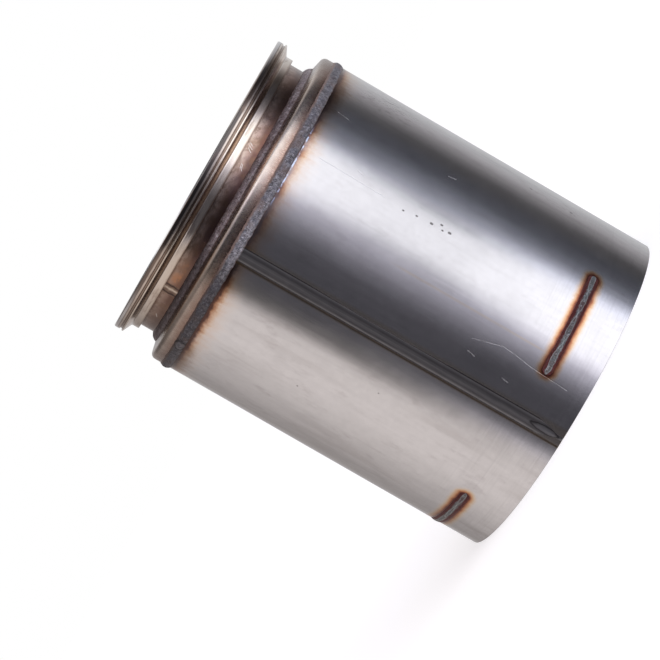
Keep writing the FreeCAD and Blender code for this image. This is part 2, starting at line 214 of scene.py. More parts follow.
world = bpy.data.worlds.new("studio")
scene.world = world
world.use_nodes = True
room = world.node_tree
room.nodes.clear()
east, north, high = split(room, room.nodes.new("ShaderNodeTexCoord").outputs["Generated"])
bearing = east.op("ARCTAN2", -north) * math.degrees(1.0)
elevation = high.op("ARCSINE") * math.degrees(1.0)
wall = Field(room, room.nodes.new("ShaderNodeValue").outputs[0])
wall.source.default_value = ROOM_FAR_SIDE
before = ROOM_FAR_SIDE
waist = elevation.peak(WAIST_ELEVATION, WAIST_HEIGHT)
above_table = elevation.rise(-7.3, -6.0)
further = bearing + elevation.rise(-2.8, -0.6) * bearing.rise(50.0, 58.0) * 7.0
for edge, brightness, soft, shift in ROOM_WALLS:
    moved = further - (waist if edge > 0.0 else above_table) * shift
    wall = wall + moved.rise(edge - soft, edge + soft) * (brightness - before)
    before = brightness
wall = wall * (1.0 + (0.14 - above_table * 0.14 - waist * 0.34) * bearing.band(15.0, 70.0, 8.0))
wall = wall * (1.0 - elevation.rise(2.0, 22.0) * bearing.band(-165.0, -20.0, 8.0) * 0.55)
overhead = elevation.rise(32.0, 62.0) + (-elevation).rise(35.0, 75.0) * 0.35
ceiling = CEILING + bearing.band(10.0, 76.0, 8.0) * elevation.rise(0.0, 10.0) * (SOFTBOX_OVERHEAD - CEILING)
shown = wall + (ceiling - wall) * overhead
background = room.nodes.new("ShaderNodeBackground")
rays = room.nodes.new("ShaderNodeLightPath")
seen = Field(room, rays.outputs["Is Camera Ray"])
mirrored = Field(room, rays.outputs["Is Glossy Ray"]) + Field(room, rays.outputs["Is Transmission Ray"])
light = shown * mirrored + (1.0 - mirrored) * SOFT_FILL
light = light + (1.0 - light) * seen
feed(room, light, background.inputs["Strength"])
tint = Paint(room, (*FAR_SIDE_TINT, 1.0))
for edge, soft, colour in ROOM_TINTS:
    tint = tint.over(bearing.rise(edge - soft, edge + soft), colour)
tint = tint.over(seen, (1.0, 1.0, 1.0))
feed(room, tint, background.inputs["Color"])
sky = room.nodes.new("ShaderNodeOutputWorld")
room.links.new(background.outputs[0], sky.inputs["Surface"])

lamp_data = bpy.data.lights.new("softbox", "AREA")
lamp_data.shape = "RECTANGLE"
lamp_data.size = 1.4
lamp_data.size_y = 1.0
lamp_data.energy = 14.0
lamp = bpy.data.objects.new("softbox", lamp_data)
lamp_place = Vector((1.3, -1.5, 1.7))
toward = (lamp_place - Vector((0.0, 0.0, 0.15))).normalized()
side = Vector((0.0, 0.0, 1.0)).cross(toward).normalized()
lamp_axes = Matrix((side, toward.cross(side), toward)).transposed()
lamp.matrix_world = Matrix.Translation(lamp_place) @ lamp_axes.to_4x4()
lamp.visible_glossy = False
lamp.visible_camera = False
scene.collection.objects.link(lamp)

FLOOR_RADIUS = 6.0
FLOOR_GLOW = 0.41


class Surface:
    """A material for one kind of finish, with the place on the canister in millimetres and degrees."""

    def __init__(self, name, colour):
        self.material = bpy.data.materials.new(name)
        self.material.use_nodes = True
        self.tree = self.material.node_tree
        self.tree.nodes.clear()
        self.colour = Paint(self.tree, (*colour, 1.0))
        place = self.tree.nodes.new("ShaderNodeTexCoord").outputs["Object"]
        self.x, self.y, self.z = (part * 1000.0 for part in split(self.tree, place))
        self.turn = self.x.op("ARCTAN2", -self.y) * math.degrees(1.0)
        self.radius = (self.x * self.x + self.y * self.y) ** 0.5
        self.bsdf = self.tree.nodes.new("ShaderNodeBsdfPrincipled")
        output = self.tree.nodes.new("ShaderNodeOutputMaterial")
        self.tree.links.new(self.bsdf.outputs[0], output.inputs["Surface"])

    def clouds(self, size, detail=2.0, roughness=0.5, shift=0.0):
        """Noise whose patches are about size millimetres across."""
        return self.streaks(size, size, shift, detail, roughness)

    def streaks(self, wide, long, shift=0.0, detail=2.0, roughness=0.5):
        """Noise of one size round the canister and another along it."""
        return noise(self.tree, self.x / wide + shift, self.y / wide, self.z / long, detail, roughness)

    def hoops(self, fine, long, shift=0.0, detail=2.0):
        """Noise drawn out round the canister, as a lathe or a roll leaves it."""
        return noise(self.tree, self.x / long, self.y / long, (self.z + self.radius) / fine + shift, detail)

    def coat(self, amount, colour):
        """Lays another colour over the surface, by this amount."""
        self.colour = self.colour.over(amount, colour)

    def ramp(self, amount, stops):
        """Colours along a number, each at its own value."""
        node = self.tree.nodes.new("ShaderNodeValToRGB")
        first, last = stops[0][0], stops[-1][0]
        feed(self.tree, (amount - first) / (last - first), node.inputs[0])
        points = node.color_ramp.elements
        for value, _ in stops[1:-1]:
            points.new((value - first) / (last - first))
        for point, (_, colour) in zip(points, stops):
            point.color = (*colour, 1.0)
        return Paint(self.tree, node.outputs[0])

    def finish(self, roughness, height=None, metallic=1.0):
        """Connects the finish; height is the relief in millimetres."""
        feed(self.tree, self.colour, self.bsdf.inputs["Base Color"])
        feed(self.tree, roughness, self.bsdf.inputs["Roughness"])
        self.bsdf.inputs["Metallic"].default_value = metallic
        if height is not None:
            bump = self.tree.nodes.new("ShaderNodeBump")
            bump.inputs["Distance"].default_value = 0.001
            feed(self.tree, height, bump.inputs["Height"])
            self.tree.links.new(bump.outputs[0], self.bsdf.inputs["Normal"])
        return self.material


def add_piece(name, mesh, material):
    """An object at the origin with its place in its mesh."""
    piece = bpy.data.objects.new(name, mesh)
    scene.collection.objects.link(piece)
    mesh.materials.append(material)
    return piece


table = Surface("table_top", (0.80, 0.80, 0.80))
table.coat(table.clouds(400.0) * 0.3, (0.78, 0.78, 0.78))
table.finish(0.9, metallic=0.0)
table.bsdf.inputs["Specular IOR Level"].default_value = 0.0
camera_ray = Field(table.tree, table.tree.nodes.new("ShaderNodeLightPath").outputs["Is Camera Ray"])
table.bsdf.inputs["Emission Color"].default_value = (1.0, 1.0, 1.0, 1.0)
feed(table.tree, camera_ray * FLOOR_GLOW, table.bsdf.inputs["Emission Strength"])
from_below = Field(table.tree, table.tree.nodes.new("ShaderNodeNewGeometry").outputs["Backfacing"])
feed(table.tree, 1.0 - from_below, table.bsdf.inputs["Alpha"])
disc = bmesh.new()
bmesh.ops.create_circle(disc, cap_ends=True, segments=96, radius=FLOOR_RADIUS)
table_mesh = bpy.data.meshes.new("table_top")
disc.to_mesh(table_mesh)
disc.free()
table_top = add_piece("table_top", table_mesh, table.material)
table_top.visible_glossy = False

# The shell: one stainless sheet, 1.5 mm thick, rolled round and butt welded along its seam. Four long
# slots near the outlet end are there for the welds that hold the retaining ring inside.

MM = 0.001
MERGE_DISTANCE = 1e-6
SAME_PLACE = 1e-4
SHELL_RADIUS = 150.0
SHELL_WALL = 1.5
SHELL_LENGTH = 312.1
SHELL_EDGE = 0.25
SHELL_WAVE = 0.10
SHELL_STEPS = 720
ROWS_BELOW_SLOTS = 6
ROWS_ABOVE_SLOTS = 22
SEAM_ANGLE = -12.3
SEAM_GAP = 3.0
STITCH_HEIGHT = 40.5
STITCH_ANGLES = [22.2, 112.2, 202.2, 292.2]
STITCH_REACH = 19.2
STITCH_WIDTH = 8.6
ARC_MM = math.radians(1.0) * SHELL_RADIUS


def fill_mesh(mesh, shape, sharp):
    """Turns a shape into a mesh: doubles merged, faces outwards, edges sharper than an angle kept so."""
    bmesh.ops.remove_doubles(shape, verts=shape.verts, dist=MERGE_DISTANCE)
    bmesh.ops.dissolve_degenerate(shape, dist=MERGE_DISTANCE / 10, edges=shape.edges)
    bmesh.ops.recalc_face_normals(shape, faces=shape.faces)
    shape.to_mesh(mesh)
    shape.free()
    mesh.shade_smooth()
    mesh.set_sharp_from_angle(angle=math.radians(sharp))


def closed_mesh(name, points, faces, sharp=35.0):
    """A closed mesh from points in millimetres."""
    shape = bmesh.new()
    corners = [shape.verts.new(Vector(point) * MM) for point in points]
    for face in faces:
        shape.faces.new([corners[index] for index in face])
    mesh = bpy.data.meshes.new(name)
    fill_mesh(mesh, shape, sharp)
    return mesh


def on_ring(radius, turn, height):
    """A point at an angle in degrees from the camera's side."""
    angle = math.radians(turn)
    return (radius * math.sin(angle), -radius * math.cos(angle), height)


def wall_faces(ring, following):
    """The four-cornered faces between two closed rings of points."""
    faces = []
    for index in range(len(ring)):
        after = (index + 1) % len(ring)
        faces.append((ring[index], following[index], following[after], ring[after]))
    return faces


def slot_half_height(turn):
    """Half the height of a stitch slot at this angle, 0 where there is none."""
    radius = STITCH_WIDTH / 2
    straight = STITCH_REACH * ARC_MM - radius
    for middle in STITCH_ANGLES:
        away = abs((turn - middle + 180.0) % 360.0 - 180.0) * ARC_MM - straight
        if away < radius:
            return math.sqrt(radius ** 2 - max(away, 0.0) ** 2)
    return 0.0


def shell_wave(turn, height):
    """How far the rolled sheet strays from a true cylinder."""
    angle = math.radians(turn)
    ends = math.sin(math.pi * min(max(height / SHELL_LENGTH, 0.0), 1.0))
    return SHELL_WAVE * ends * (
        math.sin(9 * angle + height / 60.0)
        + 0.7 * math.sin(14 * angle - height / 43.0 + 1.0)
        + 0.5 * math.cos(5 * angle + height / 34.0)
    ) / 2.2


half_gap = SEAM_GAP / 2 / ARC_MM
turns = np.linspace(SEAM_ANGLE + half_gap, SEAM_ANGLE + 360.0 - half_gap, SHELL_STEPS + 1)
shell_points = []
shell_faces = []
shell_columns = []
for turn in turns:
    half = slot_half_height(turn)
    bands = []
    for bottom, top, rows, edge in (
        (0.0, STITCH_HEIGHT - half, ROWS_BELOW_SLOTS, SHELL_EDGE),
        (STITCH_HEIGHT + half, SHELL_LENGTH, ROWS_ABOVE_SLOTS, 0.0),
    ):
        heights = np.linspace(bottom + edge, top, rows)
        outside = [(SHELL_RADIUS, height) for height in heights]
        inside = [(SHELL_RADIUS - SHELL_WALL, height) for height in heights[::-1]]
        rim = [(SHELL_RADIUS - SHELL_WALL + edge, bottom), (SHELL_RADIUS - edge, bottom)] if edge else []
        ring = []
        for radius, height in outside + inside + rim:
            ring.append(len(shell_points))
            shell_points.append(on_ring(radius + shell_wave(turn, height), turn, height))
        bands.append((ring, rows))
    shell_columns.append((half, bands))
for (half, bands), (next_half, next_bands) in zip(shell_columns, shell_columns[1:]):
    for place, ((ring, rows), (next_ring, _)) in enumerate(zip(bands, next_bands)):
        slot_side = rows - 1 if place == 0 else len(ring) - 1
        for index, face in enumerate(wall_faces(ring, next_ring)):
            if index != slot_side or half > 0.0 or next_half > 0.0:
                shell_faces.append(face)
for half, bands in (shell_columns[0], shell_columns[-1]):
    for ring, rows in bands:
        for index in range(rows - 1):
            behind = 2 * rows - 1 - index
            shell_faces.append((ring[index], ring[index + 1], ring[behind - 1], ring[behind]))
        if len(ring) > 2 * rows:
            shell_faces.append((ring[0], ring[2 * rows - 1], ring[2 * rows], ring[2 * rows + 1]))


def clean_faces(points, faces):
    """The faces that have at least three different corners."""
    kept = []
    for face in faces:
        corners = []
        for index in face:
            point = np.array(points[index])
            if all(np.abs(point - np.array(points[other])).max() > SAME_PLACE for other in corners):
                corners.append(index)
        if len(corners) > 2:
            kept.append(tuple(corners))
    return kept


shell_mesh = closed_mesh("rolled_shell", shell_points, clean_faces(shell_points, shell_faces))

# Scratches have the angle and height of both ends and a width, specks an angle, a height and a width: angles
# in degrees, the rest in mm.
SHELL_SCRATCHES = [
    (27.0, 228.0, 27.4, 292.0, 0.35),
    (47.0, 284.0, 47.6, 295.0, 0.3),
    (48.2, 181.0, 47.7, 188.0, 0.6),
    (30.0, 252.0, 30.5, 257.0, 0.6),
    (70.0, 230.0, 66.0, 284.0, 0.5),
    (73.0, 240.0, 71.0, 262.0, 0.7),
    (1.3, 108.0, 4.0, 82.0, 0.24),
    (4.0, 82.0, 3.6, 70.0, 0.24),
    (3.6, 70.0, 2.6, 52.0, 0.24),
    (2.6, 52.0, 1.9, 18.0, 0.24),
    (-3.2, 99.0, -2.7, 106.0, 0.6),
    (-5.2, 64.0, -4.8, 70.0, 0.5),
]
SHELL_SPECKS = [
    (26.2, 208.5, 1.0),
    (26.9, 196.5, 1.0),
    (27.2, 182.5, 1.4),
    (28.6, 174.5, 1.2),
    (27.0, 172.0, 1.0),
    (27.5, 165.5, 1.5),
    (68.0, 117.5, 1.1),
    (67.5, 77.5, 1.2),
    (41.0, 12.5, 0.6),
    (-30.0, 150.0, 0.6),
    (-44.0, 210.0, 0.7),
    (140.0, 90.0, 0.9),
    (-120.0, 190.0, 0.8),
]
STEEL = (0.73, 0.725, 0.73)
STEEL_DULL = (0.55, 0.545, 0.55)
SCRATCH = (0.9, 0.9, 0.9)
SPECK = (0.10, 0.09, 0.09)
# Heat colours of stainless steel beside a weld, by distance from the bead in mm.
HEAT_COLOURS = [
    (0.0, (0.10, 0.04, 0.035)),
    (0.9, (0.20, 0.07, 0.045)),
    (2.0, (0.43, 0.19, 0.10)),
    (3.3, (0.64, 0.40, 0.24)),
    (5.2, (0.72, 0.60, 0.48)),
    (9.0, STEEL),
]


def scratch_mask(surface, start_turn, start, end_turn, end, width):
    """1 along a straight scratch on the shell and 0 beside it."""
    across = surface.turn.turned_from(start_turn) * ARC_MM
    along = surface.z - start
    reach_across = (end_turn - start_turn) * ARC_MM
    reach_along = end - start
    length = reach_across ** 2 + reach_along ** 2
    share = ((across * reach_across + along * reach_along) / length).held()
    away = ((across - share * reach_across) ** 2.0 + (along - share * reach_along) ** 2.0) ** 0.5
    return 1.0 - away.rise(width * 0.4, width)


def scratched(surface, scratches):
    """1 along any of these scratches."""
    found = scratch_mask(surface, *scratches[0])
    for scratch in scratches[1:]:
        found = found.op("MAXIMUM", scratch_mask(surface, *scratch))
    return found


def stitch_distance(surface):
    """Distance in mm from the edge of the nearest stitch weld."""
    radius = STITCH_WIDTH / 2
    quarter = (surface.turn - (STITCH_ANGLES[0] - 45.0)).op("FLOORED_MODULO", 90.0) - 45.0
    past = (quarter.op("ABSOLUTE") * ARC_MM - (STITCH_REACH * ARC_MM - radius)).op("MAXIMUM", 0.0)
    rise = surface.z - STITCH_HEIGHT
    return (past * past + rise * rise) ** 0.5 - radius


shell = Surface("rolled_stainless", STEEL)
shell.coat(shell.streaks(5.0, 120.0).rise(0.45, 0.75) * 0.16, STEEL_DULL)
gold_line = shell.turn.turned_from(9.2).peak(0.0, 0.35) * shell.z.band(46.0, 190.0, 12.0)
shell.coat(gold_line * 0.45, (0.80, 0.69, 0.50))
near_outlet = 1.0 - shell.z.rise(45.0, 95.0)
shell.coat(shell.hoops(0.7, 58.0).rise(0.45, 0.70) * near_outlet * 0.22, (0.50, 0.49, 0.50))
scuffed = shell.turn.band(60.0, 79.0, 4.0) * shell.z.band(236.0, 300.0, 12.0)
scuffed = scuffed + shell.turn.band(65.0, 73.0, 2.0) * shell.z.band(72.0, 126.0, 4.0) * 0.6
scuffs = noise(shell.tree, shell.turn / 1.5, shell.z / 9.0, 9.0, 5.0, 0.75).rise(0.50, 0.66) * scuffed
shell.coat(scuffs * 0.50, (0.34, 0.32, 0.32))
left_side = shell.turn.band(-150.0, -24.0, 6.0)
handled = shell.streaks(16.0, 110.0, 17.0, 4.0).rise(0.48, 0.75) * left_side
shell.coat(handled * 0.38, (0.46, 0.44, 0.43))
smudges = shell.streaks(10.5, 26.0, 3.0, 4.0, 0.65).rise(0.52, 0.74)
shell.coat(smudges * (0.14 + left_side * 0.16), (0.40, 0.37, 0.37))
shell.coat(shell.clouds(55.0, 3.0, shift=7.0).rise(0.52, 0.72) * 0.30, STEEL_DULL)
mottle = shell.clouds(9.0, 5.0, 0.7, 29.0).rise(0.35, 0.70)
shell.coat(mottle * 0.16, (0.52, 0.51, 0.515))
stitch_away = stitch_distance(shell) + (shell.clouds(6.0) - 0.5) * 2.6
stitch_heat = shell.ramp(stitch_away, HEAT_COLOURS)
shell.coat(1.0 - stitch_away.rise(4.0, 9.0), stitch_heat)
SHOULDER_BEAD_FOOT = 307.3
bead_away = SHOULDER_BEAD_FOOT - shell.z + (shell.clouds(16.0, 2.0, shift=3.0) - 0.5) * 4.0
licks = shell.streaks(6.3, 24.0, 8.0, 5.0, 0.7) - 0.5
bead_away = bead_away * (1.0 + licks * 1.1) + (shell.clouds(4.5, 4.0, 0.7, 19.0) - 0.5) * 5.0
bead_heat = shell.ramp(bead_away, [
    (0.0, (0.20, 0.13, 0.12)),
    (1.0, (0.17, 0.085, 0.075)),
    (2.0, (0.30, 0.165, 0.12)),
    (3.3, (0.48, 0.275, 0.17)),
    (6.4, (0.68, 0.515, 0.39)),
    (10.0, (0.72, 0.635, 0.58)),
    (16.0, (0.725, 0.69, 0.67)),
    (26.0, STEEL),
])
blotches = shell.clouds(22.0, 2.0, shift=13.0).rise(0.35, 0.65)
shell.coat((1.0 - bead_away.rise(14.0, 26.0)) * (0.70 + blotches * 0.30), bead_heat)
rust = shell.turn.band(-80.0, -14.0, 5.0) * (1.0 - bead_away.rise(2.0, 8.0))
shell.coat(rust * blotches * 0.6, (0.40, 0.19, 0.10))
# Darker brown beside the shoulder bead, in two bands of angle.
darker_bead_bands = shell.turn.band(-85.0, -54.0, 5.0) + shell.turn.band(42.0, 66.0, 6.0)
darker_bead_bands = darker_bead_bands * (1.0 - bead_away.rise(3.0, 16.0))
shell.coat(darker_bead_bands * 0.65, (0.20, 0.13, 0.10))
# Painted shade: the shell at the bead's foot is darkened on the low side and on the side past the softbox.
painted_toe_shade = (shell.turn.band(-80.0, -14.0, 4.0) + shell.turn.band(40.0, 150.0, 5.0) * 0.5)
painted_toe_shade = painted_toe_shade * (1.0 - bead_away.rise(1.0, 4.5))
shell.coat(painted_toe_shade * 0.9, (0.075, 0.04, 0.035))
# Painted highlight: a bluish-white line at the shoulder bead's foot, only at the angles where the softbox is
# reflected.
painted_toe_highlight = shell.clouds(5.0, 3.0, 0.6, 41.0).rise(0.38, 0.58) * shell.turn.band(6.0, 35.0, 3.0)
painted_toe_highlight = painted_toe_highlight * (1.0 - (SHOULDER_BEAD_FOOT - shell.z).rise(0.9, 1.5))
shell.coat(painted_toe_highlight * 0.8, (0.66, 0.76, 0.95))
seam_away = shell.turn.turned_from(SEAM_ANGLE) * ARC_MM
seam_heat = (seam_away + 7.6).op("ABSOLUTE").rise(0.35, 1.2)
shell.coat((1.0 - seam_heat) * 0.85, (0.12, 0.06, 0.03))
seam_gold = (seam_away.op("ABSOLUTE") - 6.5).rise(0.0, 4.5)
shell.coat((1.0 - seam_gold) * 0.35, (0.62, 0.47, 0.26))
shell_height = shell.streaks(0.7, 30.0, 11.0) * 0.0035 + shell.clouds(24.0, 2.0, shift=5.0) * 0.05
marks = scratched(shell, SHELL_SCRATCHES)
broken = shell.clouds(4.0, 3.0, shift=21.0).rise(0.40, 0.55)
shell.coat(marks * broken * 0.6, SCRATCH)
specks = [(turn, height, turn, height + 0.8 * size, size) for turn, height, size in SHELL_SPECKS]
shell.coat(scratched(shell, specks) * 0.85, SPECK)
shell_roughness = 0.12 + shell.clouds(30.0, 3.0, shift=9.0) * 0.06 + shell.streaks(3.0, 60.0, 4.0) * 0.05
shell_roughness = shell_roughness + marks * 0.2
shell_steel = shell.finish(shell_roughness, shell_height - marks * broken * 0.02)
shell.bsdf.inputs["Anisotropic"].default_value = 0.6
rolled_shell = add_piece("rolled_shell", shell_mesh, shell_steel)
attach(rolled_shell, "root")
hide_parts("shell")

# The shell's seam weld: both edges of the sheet melted together and rolled flat, so that it lies as a low
# band along the shell. Near the outlet it is ground flush and runs out in a long lens.

SEAM_WIDTH = 13.0
SEAM_CROWN = 0.16
SEAM_FLANK = 3.5
SEAM_START = 31.0
SEAM_RUN_OUT = 2.5
SEAM_FILM = 0.08
SEAM_LIFT = 0.01
SEAM_SOLE = 0.25
SEAM_SET_BACK = 0.3
SEAM_OVERLAP = 1.5
SEAM_ROWS = 300


def seam_band(name, turn, radius, wall, width, heights, crowns, shares):
    """A flat bead along the axis; each height has its own crown and its own share of the width."""
    points = []
    rings = []
    across = 18
    for height, crown, share in zip(heights, crowns, shares):
        half = width / 2 * share
        flat = max(half - SEAM_FLANK, 0.3 * half)
        ring = []
        for step in range(across + 1):
            place = -half + 2 * half * step / across
            rise = crown * min(1.0, (half - abs(place)) / max(half - flat, 1e-6))
            ring.append(len(points))
            angle = turn + math.degrees(place / radius)
            points.append(on_ring(radius + max(rise, 0.0) + SEAM_LIFT, angle, height))
        for step in range(across - 1, 0, -1):
            place = -half + 2 * half * step / across
            ring.append(len(points))
            depth = wall if abs(place) < SEAM_GAP / 2 else SEAM_SOLE
            points.append(on_ring(radius - depth, turn + math.degrees(place / radius), height))
        rings.append(ring)
    faces = [tuple(rings[0]), tuple(rings[-1])]
    for ring, following in zip(rings, rings[1:]):
        faces.extend(wall_faces(ring, following))
    return closed_mesh(name, points, faces, sharp=50.0)


seam_heights = [
    *np.linspace(SEAM_SET_BACK, SEAM_RUN_OUT, 4),
    *np.linspace(SEAM_RUN_OUT + 1.0, SHOULDER_BEAD_FOOT + SEAM_OVERLAP, SEAM_ROWS),
]
seam_shares = []
seam_crowns = []
for height in seam_heights:
    opening = min(max((height - SEAM_RUN_OUT) / (SEAM_START - SEAM_RUN_OUT), 0.0), 1.0)
    seam_shares.append(max(0.24, math.sin(opening * math.pi / 2)))
    climb = min(max((height - SEAM_START + 2.0) / 4.0, 0.0), 1.0)
    ripple = 0.02 * math.sin(height / 1.9) + 0.015 * math.sin(height / 5.3 + 1.0)
    seam_crowns.append(SEAM_FILM + (SEAM_CROWN - SEAM_FILM + ripple) * climb)
seam_mesh = seam_band(
    "shell_seam", SEAM_ANGLE, SHELL_RADIUS, SHELL_WALL, SEAM_WIDTH, seam_heights, seam_crowns, seam_shares
)
seam = Surface("rolled_seam", (0.46, 0.45, 0.45))
seam_across = seam.turn.turned_from(SEAM_ANGLE) * ARC_MM
seam.coat(seam.streaks(1.6, 70.0).rise(0.4, 0.7) * 0.5, (0.30, 0.295, 0.30))
# Painted reflections of the seam's flanks: three bright lines and two dark lines along it.
painted_seam_reflection = (0.72, 0.70, 0.67)
for place, width, strength in ((-5.2, 0.5, 0.75), (-0.6, 0.4, 0.35), (5.0, 0.45, 0.6)):
    seam.coat(seam_across.peak(place, width) * strength, painted_seam_reflection)
for place, width in ((-3.3, 1.0), (2.6, 1.2)):
    seam.coat(seam_across.peak(place, width) * 0.55, (0.17, 0.16, 0.16))
seam_edges = (seam_across.op("ABSOLUTE") - 6.1).peak(0.0, 0.45)
seam.coat(seam_edges * 0.9, (0.055, 0.05, 0.05))
seam_sway = (seam.clouds(6.0, 2.0, shift=8.0) - 0.5) * 0.5
puddle = ((seam_across / 2.9) ** 2.0 + ((seam.z - 17.0) / 13.0) ** 2.0) ** 0.5 + seam_sway
seam.coat((1.0 - puddle.rise(0.4, 0.9)) * 0.6, (0.60, 0.60, 0.62))
seam.coat(puddle.peak(1.0, 0.13) * 0.75, (0.06, 0.055, 0.055))
seam_lines = (seam.z / 1.1 + seam_across * seam_across * 0.02).op("SINE")
seam_height = seam_lines * 0.006 + seam.streaks(0.6, 16.0, 2.0) * 0.02
seam_steel = seam.finish(0.24 + seam.streaks(1.2, 20.0, 5.0) * 0.16, seam_height)
shell_seam = add_piece("shell_seam", seam_mesh, seam_steel)
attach(shell_seam, "root")
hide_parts("shell_seam_weld")

# The four stitch welds: short runs of bead laid in the shell's slots, down to the retaining ring inside.
# Each is a row of overlapping ripples with round ends.


def open_tree(name, kinds):
    """A geometry tree with its named inputs, in groups of one kind of socket, and one output."""
    tree = bpy.data.node_groups.new(name, "GeometryNodeTree")
    for kind, labels in kinds.items():
        for label in labels:
            tree.interface.new_socket(name=label, in_out="INPUT", socket_type="NodeSocket" + kind)
    tree.interface.new_socket(name="Piece", in_out="OUTPUT", socket_type="NodeSocketGeometry")
    return tree, tree.nodes.new("NodeGroupInput")


def close_tree(tree, geometry, material):
    """Realizes the geometry of a tree, sets its material and puts it out."""
    realize = tree.nodes.new("GeometryNodeRealizeInstances")
    tree.links.new(geometry, realize.inputs[0])
    paint = tree.nodes.new("GeometryNodeSetMaterial")
    tree.links.new(realize.outputs[0], paint.inputs["Geometry"])
    tree.links.new(material, paint.inputs["Material"])
    tree.links.new(paint.outputs[0], tree.nodes.new("NodeGroupOutput").inputs[0])
    return tree


def build_bead_tree():
    """A weld bead along an arc: a crowned, rippled section between its two toes, closed underneath."""
    numbers = [
        "Middle", "Reach", "Foot Radius", "Foot Height", "Head Radius", "Head Height", "Crown", "Root",
        "Ripple Pitch", "Ripple Depth", "Ripple Bow", "Wander", "Stop Angle", "Stop Width", "Stop Rise",
        "Round Ends", "Grain", "Seed",
    ]
    kinds = {"Float": numbers, "Int": ["Steps Along", "Steps Across"], "Material": ["Metal"]}
    tree, given = open_tree("weld_bead", kinds)
    size = {name: Field(tree, given.outputs[name]) for name in numbers}
    grid = tree.nodes.new("GeometryNodeMeshGrid")
    grid.inputs["Size X"].default_value = 1.0
    grid.inputs["Size Y"].default_value = 1.0
    tree.links.new(given.outputs["Steps Along"], grid.inputs["Vertices X"])
    tree.links.new(given.outputs["Steps Across"], grid.inputs["Vertices Y"])
    along, around, _ = split(tree, tree.nodes.new("GeometryNodeInputPosition").outputs[0])
    along = along * 2.0
    around = around + 0.5
    turn = size["Middle"] + along * size["Reach"]
    angle = turn * math.radians(1.0)
    sine, cosine = angle.op("SINE"), angle.op("COSINE")
    mean = (size["Foot Radius"] + size["Head Radius"]) * 0.5

    chord_out = size["Head Radius"] - size["Foot Radius"]
    chord_up = size["Head Height"] - size["Foot Height"]
    chord = (chord_out * chord_out + chord_up * chord_up) ** 0.5
    section = around * math.tau
    across = section.op("COSINE") * -1.0

    def unevenness(patch, shift):
        deep = across * chord / patch * 0.5 + size["Seed"] + shift
        return noise(tree, sine * mean / patch, cosine * mean / patch, deep) - 0.5

    to_end = (1.0 - along.op("ABSOLUTE")) * size["Reach"] * math.radians(1.0) * mean
    rounding = 1.0 - (to_end / (chord * 0.5)).held()
    taper = 1.0 + ((1.0 - rounding * rounding) ** 0.5 - 1.0) * size["Round Ends"]
    body = section.op("SINE") * section.op("SINE")
    outside = around.op("LESS_THAN", 0.5)
    toe = unevenness(0.006, 0.0) * (1.0 - across) + unevenness(0.006, 10.0) * (1.0 + across)
    toe = toe * size["Wander"]
    share = across * taper * 0.5 + 0.5 + toe * taper / chord
    phase = (angle * mean + across * across * size["Ripple Bow"]) / size["Ripple Pitch"]
    phase = phase + unevenness(0.004, 20.0) * 0.5
    ripple = (phase * math.pi).op("SINE").op("ABSOLUTE") ** 0.6 - 0.55
    from_stop = (turn - size["Stop Angle"]) / size["Stop Width"]
    stop = (from_stop * from_stop * -1.0).op("EXPONENT") * size["Stop Rise"]
    crown = size["Crown"] * (1.0 + unevenness(0.009, 30.0) * 0.4) + stop
    ripple = ripple * size["Ripple Depth"] + unevenness(0.0011, 40.0) * size["Grain"]
    lift = (crown + ripple) * body * outside - size["Root"] * body * (1.0 - outside)
    lift = lift * taper
    radius = size["Foot Radius"] + chord_out * share + chord_up / chord * lift
    height = size["Foot Height"] + chord_up * share - chord_out / chord * lift
    keep_across = tree.nodes.new("GeometryNodeStoreNamedAttribute")
    keep_across.inputs["Name"].default_value = "across"
    tree.links.new(grid.outputs["Mesh"], keep_across.inputs["Geometry"])
    feed(tree, across, keep_across.inputs["Value"])
    place = tree.nodes.new("GeometryNodeSetPosition")
    tree.links.new(keep_across.outputs[0], place.inputs["Geometry"])
    feed(tree, combined(tree, radius * sine, radius * cosine * -1.0, height), place.inputs["Position"])
    merge = tree.nodes.new("GeometryNodeMergeByDistance")
    merge.inputs["Distance"].default_value = MERGE_DISTANCE
    tree.links.new(place.outputs[0], merge.inputs["Geometry"])
    return close_tree(tree, merge.outputs[0], given.outputs["Metal"])


def grown(name, tree, start_mesh, values, sharp=60.0):
    """The plain mesh that a tree makes, as an object at the origin."""
    piece = bpy.data.objects.new(name, start_mesh)
    scene.collection.objects.link(piece)
    modifier = piece.modifiers.new(name, "NODES")
    modifier.node_group = tree
    for item in tree.interface.items_tree:
        if item.in_out == "INPUT" and item.name in values:
            modifier[item.identifier] = values[item.name]
    finished = piece.evaluated_get(bpy.context.evaluated_depsgraph_get())
    mesh = bpy.data.meshes.new_from_object(finished)
    piece.modifiers.remove(modifier)
    piece.data = mesh
    mesh.name = name
    shape = bmesh.new()
    shape.from_mesh(mesh)
    fill_mesh(mesh, shape, sharp)
    return piece


